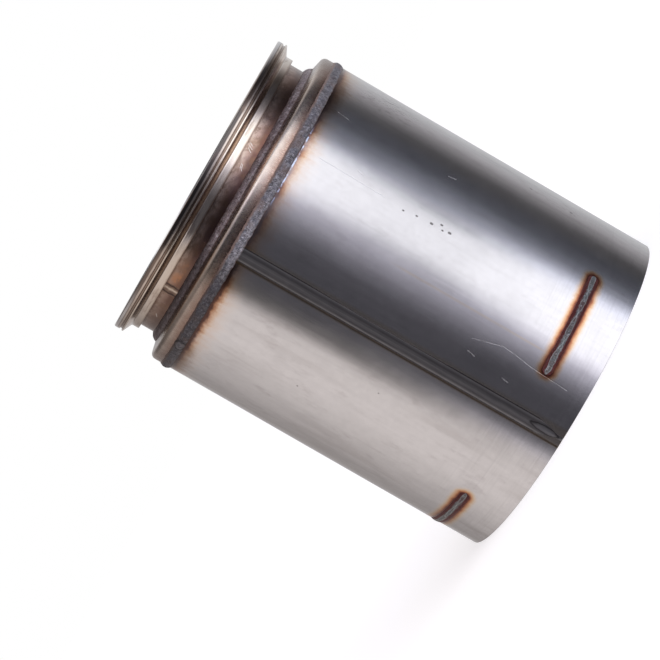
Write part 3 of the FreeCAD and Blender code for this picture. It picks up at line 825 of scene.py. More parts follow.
def bead_surface(
    name, valley, crest, glint, foot, head, foot_from, head_from, pitch, bow, threads=0.0, painted_low_shade=0.0, stop=None
):
    """Oxidised weld metal: gritty, browner at both toes, with a painted highlight on its ripple crests,
    painted glints in bright flecks and painted shade on its low side.
    """
    surface = Surface(name, valley)
    kept = surface.tree.nodes.new("ShaderNodeAttribute")
    kept.attribute_name = "across"
    across = Field(surface.tree, kept.outputs["Fac"])
    around = surface.turn * math.radians(1.0) * surface.radius
    phase = (around + across * across * bow) / pitch + surface.clouds(2.5, 2.0) * 0.8
    crests = (phase * math.pi).op("SINE").op("ABSOLUTE")
    grit = surface.clouds(1.8, 4.0, 0.8, 4.0)
    lumps = surface.clouds(6.0, 3.0, 0.6, 12.0)
    # Painted highlight on the ripple crests, which leaves the valleys darker; the crest colour then also
    # lightens random grains of the grit.
    surface.coat(crests.rise(0.35, 0.95) * 0.35, crest)
    coarse = grit * 0.7 + surface.clouds(3.6, 2.0, shift=15.0) * 0.3
    surface.coat(coarse.rise(0.38, 0.64) * 0.9, crest)
    surface.coat(lumps.rise(0.42, 0.70) * 0.55, glint)
    surface.coat(surface.clouds(14.0, 3.0, shift=25.0).rise(0.50, 0.72) * 0.45, head)
    # Painted glints: small bright flecks on the grit.
    surface.coat(grit.rise(0.56, 0.66) * 0.85, (0.84, 0.84, 0.90))
    sway = (surface.clouds(3.0, 2.0, shift=5.0) - 0.5) * 0.5
    surface.coat((sway - across).rise(foot_from, foot_from + 0.3) * 0.9, foot)
    surface.coat((across + sway).rise(head_from, head_from + 0.3) * 0.9, head)
    # Painted shade: the bead is darkened on its low side.
    surface.coat(surface.turn.band(-150.0, -19.0, 7.0) * painted_low_shade, (0.045, 0.038, 0.038))
    if stop is not None:
        stop_turn, stop_height, reach_round, reach_up = stop
        round_way = surface.turn.turned_from(stop_turn) * math.radians(1.0) * surface.radius / reach_round
        up_way = (surface.z - stop_height) / reach_up
        crater = (round_way * round_way + up_way * up_way) ** 0.5 + (grit - 0.5) * 0.35 + (lumps - 0.5) * 1.1
        surface.coat(crater.peak(1.0, 0.14) * 0.8, (0.03, 0.028, 0.03))
        surface.coat(crater.peak(0.6, 0.2) * 0.3, (0.50, 0.48, 0.50))
    if threads:
        sway = (around / threads + surface.clouds(16.0) * 4.0).op("SINE") * surface.clouds(9.0, shift=9.0)
        sway = sway * 0.8 + (surface.clouds(2.5, shift=3.0) - 0.5) * 0.12
        for side in (1.0, -1.0):
            thread = (across - sway * side).peak(0.0, 0.055)
            surface.coat(thread * 0.75, (0.56, 0.60, 0.60))
    surface.finish(0.26 + grit * 0.25, crests * 0.15 + grit * 1.3 + lumps * 1.2)
    return surface


bead_tree = build_bead_tree()


def lay_bead(
    name, surface, middle, reach, foot, head, crown, root, ripple, wander, stop, grain, seed, steps, ends=0.0
):
    """A bead along an arc. Its foot and head are a radius and a height, its ripple a pitch, a depth and a
    bow, its stop an angle, a width and a rise. All but angles, seed and steps are in millimetres."""
    return grown(name, bead_tree, bpy.data.meshes.new("start"), {
        "Middle": middle,
        "Reach": reach,
        "Foot Radius": foot[0] * MM,
        "Foot Height": foot[1] * MM,
        "Head Radius": head[0] * MM,
        "Head Height": head[1] * MM,
        "Crown": crown * MM,
        "Root": root * MM,
        "Ripple Pitch": ripple[0] * MM,
        "Ripple Depth": ripple[1] * MM,
        "Ripple Bow": ripple[2] * MM,
        "Wander": wander * MM,
        "Stop Angle": stop[0],
        "Stop Width": stop[1],
        "Stop Rise": stop[2] * MM,
        "Round Ends": ends,
        "Grain": grain * MM,
        "Seed": seed,
        "Steps Along": steps[0],
        "Steps Across": steps[1],
        "Metal": surface.material,
    })


STITCH_CROWN = 0.7
STITCH_ROOT = 1.5
STITCH_PITCH = 1.9
STITCH_BOW = 3.2
TOE_OVERLAP = 0.25
TOE_LIFT = 0.02
STITCH_RIM = (0.15, 0.036, 0.034)
stitch_surface = bead_surface(
    "stitch_weld_metal", (0.15, 0.13, 0.13), (0.32, 0.32, 0.32), (0.20, 0.27, 0.29), STITCH_RIM, STITCH_RIM,
    0.28, 0.28, STITCH_PITCH, STITCH_BOW, threads=8.5
)
for number, middle in enumerate(STITCH_ANGLES, start=1):
    stitch = lay_bead(
        f"stitch_bead_{number}", stitch_surface, middle, STITCH_REACH + TOE_OVERLAP / ARC_MM,
        foot=(SHELL_RADIUS + TOE_LIFT, STITCH_HEIGHT - STITCH_WIDTH / 2 - TOE_OVERLAP),
        head=(SHELL_RADIUS + TOE_LIFT, STITCH_HEIGHT + STITCH_WIDTH / 2 + TOE_OVERLAP),
        crown=STITCH_CROWN, root=STITCH_ROOT, ripple=(STITCH_PITCH, 0.22, STITCH_BOW), wander=0.35,
        stop=(middle + 18.0, 1.2, -0.25), grain=0.25, seed=float(number), steps=(320, 25), ends=1.0
    )
    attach(stitch, "root")
    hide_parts(f"stitch_weld_{number}")

# The shoulder ring: pressed from 3 mm stainless, it steps the shell down to the neck. It stands on the
# shell's edge and a heavy bead round the canister joins the two.

SHOULDER_TOP = 331.2
SHOULDER_TILT = math.radians(13.0)
SHOULDER_SLOPE = math.tan(SHOULDER_TILT)
SHOULDER_WALL = 3.0
SHOULDER_DEPTH = SHOULDER_WALL / math.cos(SHOULDER_TILT)
SHOULDER_BEND = 5.0
NECK_RADIUS = 130.0
SLIP_RADIUS = 130.1
RING_STEPS = 600


def rounded(corners, steps=5):
    """An outline with its corners rounded; each corner is radius, height and the size of its round."""
    outline = []
    count = len(corners)
    for index, (radius, height, size) in enumerate(corners):
        here = np.array((radius, height))
        if size == 0.0:
            outline.append(here)
            continue
        back = np.array(corners[index - 1][:2]) - here
        ahead_of = np.array(corners[(index + 1) % count][:2]) - here
        back = back / np.linalg.norm(back)
        ahead_of = ahead_of / np.linalg.norm(ahead_of)
        half = math.acos(max(-1.0, min(1.0, float(back @ ahead_of)))) / 2
        reach = size / math.tan(half)
        middle = here + (back + ahead_of) / np.linalg.norm(back + ahead_of) * size / math.sin(half)
        first = here + back * reach - middle
        last = here + ahead_of * reach - middle
        for step in range(steps + 1):
            share = step / steps
            sweep = math.pi - 2 * half
            mixed = (math.sin((1 - share) * sweep) * first + math.sin(share * sweep) * last) / math.sin(sweep)
            outline.append(middle + mixed)
    return outline


def lathe(name, corners, steps=RING_STEPS):
    """A ring turned or pressed to an outline."""
    outline = rounded(corners)
    count = len(outline)
    points = []
    faces = []
    for step in range(steps):
        for radius, height in outline:
            points.append(on_ring(radius, 360.0 * step / steps, height))
        first = step * count
        second = (step + 1) % steps * count
        faces.extend(wall_faces(range(first, first + count), range(second, second + count)))
    return closed_mesh(name, points, faces)


outer_fall = (SHELL_RADIUS - NECK_RADIUS) * SHOULDER_SLOPE
inner_fall = (SHELL_RADIUS - SHOULDER_WALL - NECK_RADIUS) * SHOULDER_SLOPE
slip_fall = (SLIP_RADIUS - NECK_RADIUS) * SHOULDER_SLOPE
ring_mesh = lathe("shoulder", [
    (SLIP_RADIUS, SHOULDER_TOP - slip_fall - SHOULDER_DEPTH, 0.0),
    (SHELL_RADIUS - SHOULDER_WALL, SHOULDER_TOP - inner_fall - SHOULDER_DEPTH, SHOULDER_BEND - SHOULDER_WALL),
    (SHELL_RADIUS - SHOULDER_WALL, SHELL_LENGTH, 0.2),
    (SHELL_RADIUS, SHELL_LENGTH, 0.2),
    (SHELL_RADIUS, SHOULDER_TOP - outer_fall, SHOULDER_BEND),
    (SLIP_RADIUS, SHOULDER_TOP - slip_fall, 0.0),
])
ring = Surface("pressed_shoulder", (0.72, 0.63, 0.555))
SHOULDER_BEAD_HEAD = 316.9
above_bead = ring.z - SHOULDER_BEAD_HEAD + (ring.clouds(6.0, 3.0) - 0.5) * 5.0
ring.coat(ring.clouds(18.0, 3.0, shift=5.0).rise(0.4, 0.7) * 0.4, (0.42, 0.35, 0.31))
ring.coat(1.0 - above_bead.rise(0.5, 7.5), (0.42, 0.29, 0.235))
ring.coat(ring.clouds(1.6, 3.0, shift=8.0).rise(0.52, 0.66) * 0.3, (0.60, 0.47, 0.42))
ring.coat((1.0 - above_bead.rise(-1.0, 1.8)) * 0.7, (0.20, 0.12, 0.10))
# Painted shade: the ring's flat top face, inside the bend, is darkened.
shaded_top_face = 1.0 - ring.radius.rise(140.5, 146.5)
ring.coat(shaded_top_face * 0.75, (0.34, 0.30, 0.285))
from_neck = ring.radius - 136.6 + (ring.clouds(5.0, 2.0, shift=3.0) - 0.5) * 3.0
ring.coat((1.0 - from_neck.rise(0.0, 5.0)) * 0.7, (0.16, 0.10, 0.085))
# Painted shade on the ring's low side.
ring_low_shade = ring.turn.band(-150.0, -19.0, 9.0)
ring.coat(ring_low_shade * (0.35 + ring.clouds(9.0, 3.0, shift=2.0) * 0.4), (0.19, 0.14, 0.115))
# Small scratch dashes beside the bead: real marks, painted bright only at the angles where the softbox light
# falls, so partly a painted glint.
dashes = noise(ring.tree, ring.turn / 0.33, ring.z / 5.0, 3.0).rise(0.52, 0.66)
dashes = dashes * ring.z.band(317.6, 321.4, 0.7) * ring.turn.band(-12.0, 36.0, 5.0)
ring.coat(dashes * 0.7, (0.74, 0.58, 0.48))
# Painted shade on the ring's high side, past the softbox, outside the top face.
ring_high_shade = ring.turn.band(65.0, 150.0, 9.0) * (1.0 - shaded_top_face)
ring.coat(ring_high_shade * 0.6, (0.20, 0.16, 0.14))
ring_height = ring.clouds(1.6, 3.0, 0.6, 1.0) * 0.03 + ring.hoops(3.0, 75.0) * 0.06
ring_height = ring_height + ring.clouds(8.0, 2.0) * 0.10
ring_steel = ring.finish(0.19 + ring.clouds(3.0, 3.0, shift=6.0) * 0.16, ring_height)
shoulder = add_piece("shoulder", ring_mesh, ring_steel)
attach(shoulder, "root")
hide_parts("shoulder_ring")

# The bead between shell and shoulder: laid in one run round the canister, dark with oxide. Where the run
# closes on itself it leaves a lump.

ALL_ROUND = (0.0, 180.0)
SHOULDER_BEAD_CROWN = 1.8
SHOULDER_RIPPLES = 620
SHOULDER_BOW = 2.6
SHOULDER_STOP_ANGLE = -55.5


def whole_pitch(radius, count):
    """The ripple pitch with which a whole number of ripples goes round."""
    return math.tau * radius / count


shoulder_pitch = whole_pitch(SHELL_RADIUS, SHOULDER_RIPPLES)
shoulder_bead_surface = bead_surface(
    "shoulder_weld_metal", (0.042, 0.038, 0.044), (0.60, 0.58, 0.63), (0.22, 0.23, 0.29), (0.17, 0.11, 0.095),
    (0.40, 0.29, 0.25), 0.75, 0.52, shoulder_pitch, SHOULDER_BOW, painted_low_shade=0.6,
    stop=(SHOULDER_STOP_ANGLE, 311.8, 6.4, 4.8)
)
shoulder_bead = lay_bead(
    "shoulder_bead", shoulder_bead_surface, *ALL_ROUND,
    foot=(SHELL_RADIUS + TOE_LIFT, SHOULDER_BEAD_FOOT), head=(SHELL_RADIUS + TOE_LIFT, SHOULDER_BEAD_HEAD),
    crown=SHOULDER_BEAD_CROWN, root=0.6, ripple=(shoulder_pitch, 0.20, SHOULDER_BOW), wander=0.9,
    stop=(SHOULDER_STOP_ANGLE, 2.0, 1.1), grain=0.9, seed=11.0, steps=(2401, 27)
)
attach(shoulder_bead, "root")
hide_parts("shoulder_weld")

# The inlet neck: a strip of 2 mm stainless, rolled and butt welded, slipped through the shoulder ring and
# into the flange. The heat of both welds has coloured it brown, purple and gold.

NECK_FOOT = 324.0
NECK_END = 363.2
NECK_WALL = 2.0
NECK_BEAD_TOP = 335.7
FLANGE_BASE = 348.1
neck_mesh = lathe("neck", [
    (NECK_RADIUS - NECK_WALL, NECK_FOOT, 0.2),
    (NECK_RADIUS, NECK_FOOT, 0.2),
    (NECK_RADIUS, NECK_END, 0.2),
    (NECK_RADIUS - NECK_WALL, NECK_END, 0.2),
])
neck = Surface("heat_tinted_neck", (0.30, 0.22, 0.18))
neck_patch = neck.streaks(16.0, 9.0, 1.0, 3.0, 0.6)
neck_up = neck.z - NECK_BEAD_TOP + (neck_patch - 0.5) * 7.0
neck.colour = neck.ramp(neck_up, [
    (0.0, (0.13, 0.075, 0.065)),
    (3.2, (0.19, 0.115, 0.10)),
    (6.8, (0.45, 0.32, 0.27)),
    (10.8, (0.58, 0.46, 0.39)),
    (12.4, (0.30, 0.22, 0.18)),
])
inside = 1.0 - neck.radius.rise(NECK_RADIUS - NECK_WALL + 0.3, NECK_RADIUS - 0.3)
neck_turn = neck.turn + (neck_patch - 0.5) * 16.0
gold = neck.clouds(15.0, 3.0, shift=14.0).rise(0.5, 0.72)
neck.coat(gold * 0.35, (0.46, 0.32, 0.21))
plum = neck.clouds(9.0, 3.0, shift=31.0).rise(0.5, 0.7)
neck.coat(plum * 0.45, (0.17, 0.11, 0.115))
smear = neck.streaks(11.3, 8.0, 5.0, 5.0, 0.75).rise(0.45, 0.60)
neck.coat(smear * 0.6, (0.20, 0.12, 0.08))
# Painted shade on the neck's low side and, more lightly, on the side past the softbox.
neck.coat(neck.turn.band(-150.0, -23.0, 9.0) * 0.58, (0.14, 0.085, 0.06))
neck.coat(neck.turn.band(34.0, 150.0, 6.0) * 0.35, (0.15, 0.10, 0.085))
smoke = neck.clouds(6.0, 3.0, 0.6, 17.0).rise(0.38, 0.62)
orange = neck_turn.band(-42.0, -31.0, 5.0) * neck.z.band(338.0, 346.5, 2.0) * (0.35 + smoke * 0.65)
neck.coat(orange * 0.7, (0.42, 0.205, 0.11))
red_patch = neck_turn.band(18.0, 33.0, 5.0) * (1.0 - neck_up.rise(1.0, 6.0))
neck.coat(red_patch * 0.2, (0.32, 0.13, 0.09))
neck_marks = scratched(neck, [
    (20.0, 341.5, 21.2, 345.0, 0.35),
    (21.3, 341.8, 22.2, 345.3, 0.3),
    (22.6, 343.0, 23.4, 345.6, 0.35),
    (12.2, 340.5, 13.6, 343.0, 0.35),
    (13.2, 341.5, 14.6, 342.5, 0.3),
    (12.8, 343.0, 14.8, 343.6, 0.3),
    (-62.0, 340.0, -60.0, 342.0, 0.4),
])
neck.coat(neck_marks * 0.8, (0.75, 0.72, 0.68))
neck.coat(inside * 0.7, (0.42, 0.36, 0.31))
neck_height = neck.streaks(0.8, 12.0) * 0.004 + neck.clouds(10.0) * 0.03
neck_steel = neck.finish(0.16 + neck.clouds(6.0, 3.0, shift=2.0) * 0.16, neck_height)
inlet_neck = add_piece("neck", neck_mesh, neck_steel)
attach(inlet_neck, "root")
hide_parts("inlet_neck")

# The neck's seam weld: both ends of the strip melted together and rolled flat, as on the shell, so that a
# low band of the same stainless lies across the neck.

NECK_SEAM_ANGLE = -42.5
NECK_SEAM_WIDTH = 12.0
NECK_SEAM_ROWS = 24
neck_seam_heights = list(np.linspace(NECK_BEAD_TOP - 0.8, FLANGE_BASE + 0.3, NECK_SEAM_ROWS))
neck_seam_mesh = seam_band(
    "neck_seam", NECK_SEAM_ANGLE, NECK_RADIUS, NECK_WALL, NECK_SEAM_WIDTH, neck_seam_heights,
    [SEAM_CROWN] * len(neck_seam_heights), [1.0] * len(neck_seam_heights)
)
neck_joint = Surface("neck_seam_metal", (0.20, 0.14, 0.105))
neck_across = neck_joint.turn.turned_from(NECK_SEAM_ANGLE) * math.radians(1.0) * NECK_RADIUS
neck_across = neck_across + (neck_joint.clouds(5.0, 2.0) - 0.5) * 3.2
neck_joint.coat(neck_across.peak(0.4, 1.1) * 0.9, (0.66, 0.56, 0.46))
for edge in (-4.2, 4.4):
    neck_joint.coat(neck_across.peak(edge, 0.8), (0.04, 0.025, 0.025))
neck_joint_smoke = neck_joint.clouds(4.0, 3.0, shift=6.0).rise(0.4, 0.65) * 0.5
neck_joint.coat(neck_joint_smoke, (0.13, 0.08, 0.07))
neck_joint_height = neck_joint.clouds(1.2, 3.0) * 0.03 + neck_joint.streaks(0.8, 8.0) * 0.02
neck_joint.finish(0.26 + neck_joint.clouds(2.0) * 0.15, neck_joint_height)
neck_seam = add_piece("neck_seam", neck_seam_mesh, neck_joint.material)
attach(neck_seam, "root")
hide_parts("neck_seam_weld")

# The fillet weld between neck and shoulder: stainless wire laid in the corner in one run, brown with
# oxide, with a notch where the welder stopped.

NECK_BEAD_SPREAD = 6.6
SLOPE_LIFT = 0.03
NECK_RIPPLES = 520
NECK_BOW = 2.0
NECK_STOP_ANGLE = 17.0
neck_pitch = whole_pitch(NECK_RADIUS + NECK_BEAD_SPREAD / 2, NECK_RIPPLES)
neck_bead_surface = bead_surface(
    "neck_weld_metal", (0.060, 0.045, 0.050), (0.80, 0.70, 0.73), (0.36, 0.30, 0.33), (0.20, 0.13, 0.11),
    (0.16, 0.085, 0.07), 0.70, 0.70, neck_pitch, NECK_BOW, painted_low_shade=0.5,
    stop=(NECK_STOP_ANGLE, 332.5, 1.7, 4.0)
)
neck_bead = lay_bead(
    "neck_bead", neck_bead_surface, *ALL_ROUND,
    foot=(NECK_RADIUS + NECK_BEAD_SPREAD, SHOULDER_TOP - NECK_BEAD_SPREAD * SHOULDER_SLOPE + SLOPE_LIFT),
    head=(NECK_RADIUS + TOE_LIFT, NECK_BEAD_TOP),
    crown=0.95, root=1.6, ripple=(neck_pitch, 0.22, NECK_BOW), wander=0.8,
    stop=(NECK_STOP_ANGLE, 1.0, -0.6), grain=0.8, seed=23.0, steps=(2101, 25)
)
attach(neck_bead, "root")
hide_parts("neck_weld")

# The inlet flange: turned from a stainless forging, with a hub over the neck, a rim with a sloped back,
# two lips with a groove between them, and a shallow gasket seat in its face.

FLANGE_FACE = 367.5
HUB_RADIUS = 134.0
RIM_RADIUS = 142.9
RIM_BACK = 358.9
FRONT_LIP_RADIUS = 142.4
FRONT_LIP_BACK = 362.5
GROOVE_RADIUS = 141.2
GASKET_RADIUS = 135.0
GASKET_DEPTH = 1.2
EDGE_BREAK = 0.8
BACK_LIP_WIDTH = 1.2
GROOVE_FLANK = 0.5
RIM_TILT = math.radians(26.0)
vee_foot = RIM_BACK - (RIM_RADIUS - HUB_RADIUS) * math.tan(RIM_TILT)
flange_mesh = lathe("flange", [
    (SLIP_RADIUS, FLANGE_BASE, 0.3),
    (HUB_RADIUS, FLANGE_BASE, 0.5),
    (HUB_RADIUS, vee_foot, 1.5),
    (RIM_RADIUS, RIM_BACK, 0.25),
    (RIM_RADIUS, RIM_BACK + BACK_LIP_WIDTH, 0.25),
    (GROOVE_RADIUS, RIM_BACK + BACK_LIP_WIDTH + GROOVE_FLANK, 0.15),
    (GROOVE_RADIUS, FRONT_LIP_BACK - GROOVE_FLANK, 0.15),
    (FRONT_LIP_RADIUS, FRONT_LIP_BACK, 0.2),
    (FRONT_LIP_RADIUS, FLANGE_FACE - EDGE_BREAK, 0.2),
    (FRONT_LIP_RADIUS - EDGE_BREAK, FLANGE_FACE, 0.2),
    (GASKET_RADIUS, FLANGE_FACE, 0.15),
    (GASKET_RADIUS, FLANGE_FACE - GASKET_DEPTH, 0.15),
    (SLIP_RADIUS, FLANGE_FACE - GASKET_DEPTH, 0.3),
], steps=720)
flange = Surface("turned_flange", (0.74, 0.70, 0.64))
flange.coat(flange.hoops(0.8, 140.0).rise(0.4, 0.7) * 0.35, (0.60, 0.55, 0.49))
below_face = FLANGE_FACE - flange.z
# Bands round the rim by height. The dark front lip and groove, the pale lips and hub and the brown flank are
# partly painted reflections and shade of the turned faces, and partly heat tint towards the hub.
rim_bands = flange.ramp(below_face + (flange.clouds(9.0, 2.0) - 0.5) * 0.7, [
    (0.0, (0.07, 0.062, 0.060)),
    (3.1, (0.085, 0.072, 0.068)),
    (3.7, (0.70, 0.62, 0.55)),
    (4.9, (0.74, 0.66, 0.58)),
    (5.4, (0.16, 0.11, 0.085)),
    (6.9, (0.34, 0.25, 0.19)),
    (7.5, (0.88, 0.80, 0.70)),
    (8.9, (0.84, 0.74, 0.63)),
    (9.5, (0.56, 0.42, 0.32)),
    (11.8, (0.70, 0.54, 0.41)),
    (12.4, (0.22, 0.15, 0.11)),
    (13.1, (0.88, 0.80, 0.71)),
    (17.8, (0.84, 0.75, 0.65)),
    (19.4, (0.34, 0.24, 0.18)),
])
outer_side = flange.radius.rise(HUB_RADIUS - 0.5, HUB_RADIUS - 0.2) * below_face.rise(0.05, 0.5)
flange.coat(outer_side * 0.92, rim_bands)
stains = flange.streaks(22.0, 4.0, 2.0, 3.0, 0.6).rise(0.5, 0.72)
flange.coat(stains * outer_side * 0.5, (0.30, 0.21, 0.16))
shaded = flange.turn.band(-150.0, -21.0, 9.0) * 0.35 + flange.turn.band(32.0, 62.0, 5.0) * 0.60
flange.coat(shaded * outer_side, (0.24, 0.17, 0.13))
lip_glint = flange.turn.op("ABSOLUTE").rise(42.0, 64.0) * (1.0 - below_face.rise(2.4, 3.3)) * outer_side
flange.coat(lip_glint * 0.8, (0.80, 0.79, 0.78))
flange_height = flange.hoops(0.28, 200.0, 3.0) * 0.008 + flange.clouds(6.0, 2.0, shift=4.0) * 0.006
flange_steel = flange.finish(0.13 + flange.clouds(9.0, 3.0, shift=1.0) * 0.12, flange_height)
inlet_flange = add_piece("flange", flange_mesh, flange_steel)
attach(inlet_flange, "root")
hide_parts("inlet_flange")

# The weld inside the flange: a small stainless fillet on the end of the neck, below the gasket seat, that
# joins the two and leaves nothing to see outside.

FLANGE_RIPPLES = 400
FLANGE_BEAD_RISE = 2.4
FLANGE_BEAD_INSET = 0.2
flange_pitch = whole_pitch(NECK_RADIUS - NECK_WALL / 2, FLANGE_RIPPLES)
flange_bead = lay_bead(
    "flange_bead", neck_bead_surface, *ALL_ROUND,
    foot=(SLIP_RADIUS + TOE_LIFT, NECK_END + FLANGE_BEAD_RISE),
    head=(NECK_RADIUS - NECK_WALL + FLANGE_BEAD_INSET, NECK_END + TOE_LIFT),
    crown=0.25, root=0.9, ripple=(flange_pitch, 0.12, 0.8), wander=0.15,
    stop=(120.0, 1.0, 0.2), grain=0.2, seed=31.0, steps=(1601, 13)
)
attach(flange_bead, "root")
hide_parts("flange_weld")

# The retaining rings: angle rings rolled from 2 mm strip. One flange of each holds the wire mesh seal
# against the edge of the block; the skirt lies along the shell.

RETAINER_RADIUS = 148.3
RETAINER_BORE = 134.0
RETAINER_WALL = 2.0
RETAINER_HEIGHT = 22.0
OUTLET_COLLAR = 29.5
retainer = Surface("rolled_angle_ring", (0.56, 0.54, 0.51))
retainer.coat(retainer.clouds(25.0, 3.0).rise(0.45, 0.7) * 0.5, (0.40, 0.36, 0.32))
retainer.coat(retainer.clouds(7.0, 3.0, shift=6.0).rise(0.6, 0.8) * 0.5, (0.28, 0.21, 0.16))
retainer_height = retainer.hoops(1.2, 100.0) * 0.02 + retainer.clouds(2.0, 3.0) * 0.01
retainer_steel = retainer.finish(0.34 + retainer.clouds(5.0) * 0.15, retainer_height)
for name, node, start, direction in (
    ("outlet_retainer", "outlet_retaining_ring", OUTLET_COLLAR, 1.0),
    ("inlet_retainer", "inlet_retaining_ring", SHELL_LENGTH, -1.0),
):
    mesh = lathe(name, [
        (RETAINER_RADIUS - RETAINER_WALL, start, 0.3),
        (RETAINER_RADIUS, start, 0.3),
        (RETAINER_RADIUS, start + direction * RETAINER_HEIGHT, 1.6),
        (RETAINER_BORE, start + direction * RETAINER_HEIGHT, 0.4),
        (RETAINER_BORE, start + direction * (RETAINER_HEIGHT - RETAINER_WALL), 0.4),
        (RETAINER_RADIUS - RETAINER_WALL, start + direction * (RETAINER_HEIGHT - RETAINER_WALL), 1.0),
    ], steps=360)
    piece = add_piece(name, mesh, retainer_steel)
    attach(piece, "root")
    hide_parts(node)

# The mesh seals: tubes of knitted stainless wire, pressed into an angle round both edges of the block.
# They cushion the ceramic and stop gas from passing round it.

SEAL_BORE = 136.5
SEAL_LIP = 5.0
SEAL_SLEEVE = 8.0
SHELL_BORE = 148.5
BLOCK_RADIUS = 142.875
knit = Surface("knitted_wire", (0.16, 0.155, 0.15))
loops_round = knit.turn * 1.9
loops_across = (knit.z + knit.radius) * 1.7
knit_wave = (loops_round * math.tau * 0.5).op("SINE") * 0.8
wires = ((loops_across + knit_wave) * math.pi).op("SINE").op("ABSOLUTE")
legs = (loops_round * math.pi).op("SINE").op("ABSOLUTE")
knit_relief = wires.op("MAXIMUM", legs * 0.8)
knit.coat(knit_relief.rise(0.4, 0.95), (0.62, 0.60, 0.57))
knit.coat(knit.clouds(10.0, 3.0).rise(0.5, 0.75) * 0.4, (0.34, 0.27, 0.21))
knit_steel = knit.finish(0.42, knit_relief * 0.25 + knit.clouds(1.0, 3.0, shift=3.0) * 0.1)
for name, node, start, direction in (
    ("outlet_seal", "outlet_mesh_seal", OUTLET_COLLAR + RETAINER_HEIGHT, 1.0),
    ("inlet_seal", "inlet_mesh_seal", SHELL_LENGTH - RETAINER_HEIGHT, -1.0),
):
    mesh = lathe(name, [
        (SEAL_BORE, start, 1.4),
        (SHELL_BORE, start, 0.6),
        (SHELL_BORE, start + direction * (SEAL_LIP + SEAL_SLEEVE), 1.2),
        (BLOCK_RADIUS, start + direction * (SEAL_LIP + SEAL_SLEEVE), 1.2),
        (BLOCK_RADIUS, start + direction * SEAL_LIP, 0.3),
        (SEAL_BORE, start + direction * SEAL_LIP, 1.4),
    ], steps=360)
    piece = add_piece(name, mesh, knit_steel)
    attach(piece, "root")
    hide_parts(node)

# The support mat: ceramic fibre felt, wrapped once round the block, its ends meeting in a tongue.
# It is squeezed between block and shell and holds the block by friction.


def dress(node, material):
    """Gives a node of the frame its finish."""
    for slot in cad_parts[node].material_slots:
        slot.link = "OBJECT"
        slot.material = material


felt = Surface("fibre_felt", (0.80, 0.78, 0.72))
felt.coat(felt.clouds(2.0, 4.0, 0.7).rise(0.35, 0.7), (0.66, 0.62, 0.54))
felt_height = felt.clouds(1.2, 4.0, 0.7, 2.0) * 0.5 + felt.hoops(1.0, 15.0) * 0.3
dress("support_mat", felt.finish(0.95, felt_height, metallic=0.0))

# The block's cement: a skin round the outside and thin joints between the segments, both trowelled from
# the same dark grey ceramic paste and fired.

cement = Surface("fired_cement", (0.30, 0.30, 0.31))
cement.coat(cement.clouds(3.0, 4.0, 0.6).rise(0.35, 0.7), (0.20, 0.20, 0.21))
cement.coat(cement.clouds(0.8, 2.0, shift=5.0).rise(0.62, 0.75) * 0.7, (0.46, 0.46, 0.45))
cement_look = cement.finish(0.92, cement.clouds(1.1, 4.0, 0.6, 1.0) * 0.2, metallic=0.0)
dress("block_skin", cement_look)
dress("segment_cement", cement_look)

# The segments: extruded silicon carbide bars with square channels. Every second channel is plugged at one
# end and its neighbours at the other, so that the gas has to pass through the porous walls.

BLOCK_BASE = 56.5
BLOCK_TOP = 285.1
CORE_RADIUS = 140.675
CEMENT_JOINT = 1.0
SEGMENTS_ACROSS = 8
CELLS = 14
CELL_SHARE = 0.82
CELL_DEPTH = 6.0
CELL_MARGIN = 0.3
pitch = (2 * CORE_RADIUS + CEMENT_JOINT) / SEGMENTS_ACROSS
segment = pitch - CEMENT_JOINT
cell = segment / CELLS


def cell_outline(left, front):
    """The part of one cell's square that lies inside the round core."""
    corners = [(left, front), (left + cell, front), (left + cell, front + cell), (left, front + cell)]
    outline = []
    for here, there in zip(corners, corners[1:] + corners[:1]):
        here_in = math.hypot(*here) <= CORE_RADIUS
        there_in = math.hypot(*there) <= CORE_RADIUS
        if here_in:
            outline.append(here)
        if here_in != there_in:
            if here[0] == there[0]:
                reach = math.sqrt(CORE_RADIUS ** 2 - here[0] ** 2)
                outline.append((here[0], math.copysign(reach, here[1] + there[1])))
            else:
                reach = math.sqrt(CORE_RADIUS ** 2 - here[1] ** 2)
                outline.append((math.copysign(reach, here[0] + there[0]), here[1]))
    return outline


def segment_row(name, row, columns):
    """Closed bars of one row, with the faces of their open channels marked."""
    shape = bmesh.new()
    channel = shape.faces.layers.int.new("channel")
    front = (row - SEGMENTS_ACROSS / 2) * pitch + CEMENT_JOINT / 2
    for column in range(columns):
        left = (column - columns / 2) * pitch + CEMENT_JOINT / 2
        known = {}
        edges = {}

        def spot(point):
            return round(point[0], 5), round(point[1], 5)

        def corner(point, height):
            key = (spot(point), height)
            if key not in known:
                known[key] = shape.verts.new(Vector((*point, height)) * MM)
            return known[key]

        for step_x in range(CELLS):
            for step_y in range(CELLS):
                outline = cell_outline(left + step_x * cell, front + step_y * cell)
                if len(outline) < 3:
                    continue
                farthest = max(math.hypot(*point) for point in outline)
                whole = len(outline) == 4 and farthest < CORE_RADIUS - CELL_MARGIN
                even = (step_x + step_y) % 2 == 0
                top = shape.faces.new([corner(point, BLOCK_TOP) for point in outline])
                bottom = shape.faces.new([corner(point, BLOCK_BASE) for point in outline[::-1]])
                top[channel] = int(whole and even)
                bottom[channel] = int(whole and not even)
                for here, there in zip(outline, outline[1:] + outline[:1]):
                    key = frozenset((spot(here), spot(there)))
                    edges[key] = None if key in edges else (here, there)
        for pair in edges.values():
            if pair:
                here, there = pair
                left_side = [corner(here, BLOCK_TOP), corner(here, BLOCK_BASE)]
                shape.faces.new([*left_side, corner(there, BLOCK_BASE), corner(there, BLOCK_TOP)])
    mesh = bpy.data.meshes.new(name)
    bmesh.ops.recalc_face_normals(shape, faces=shape.faces)
    shape.to_mesh(mesh)
    shape.free()
    return mesh


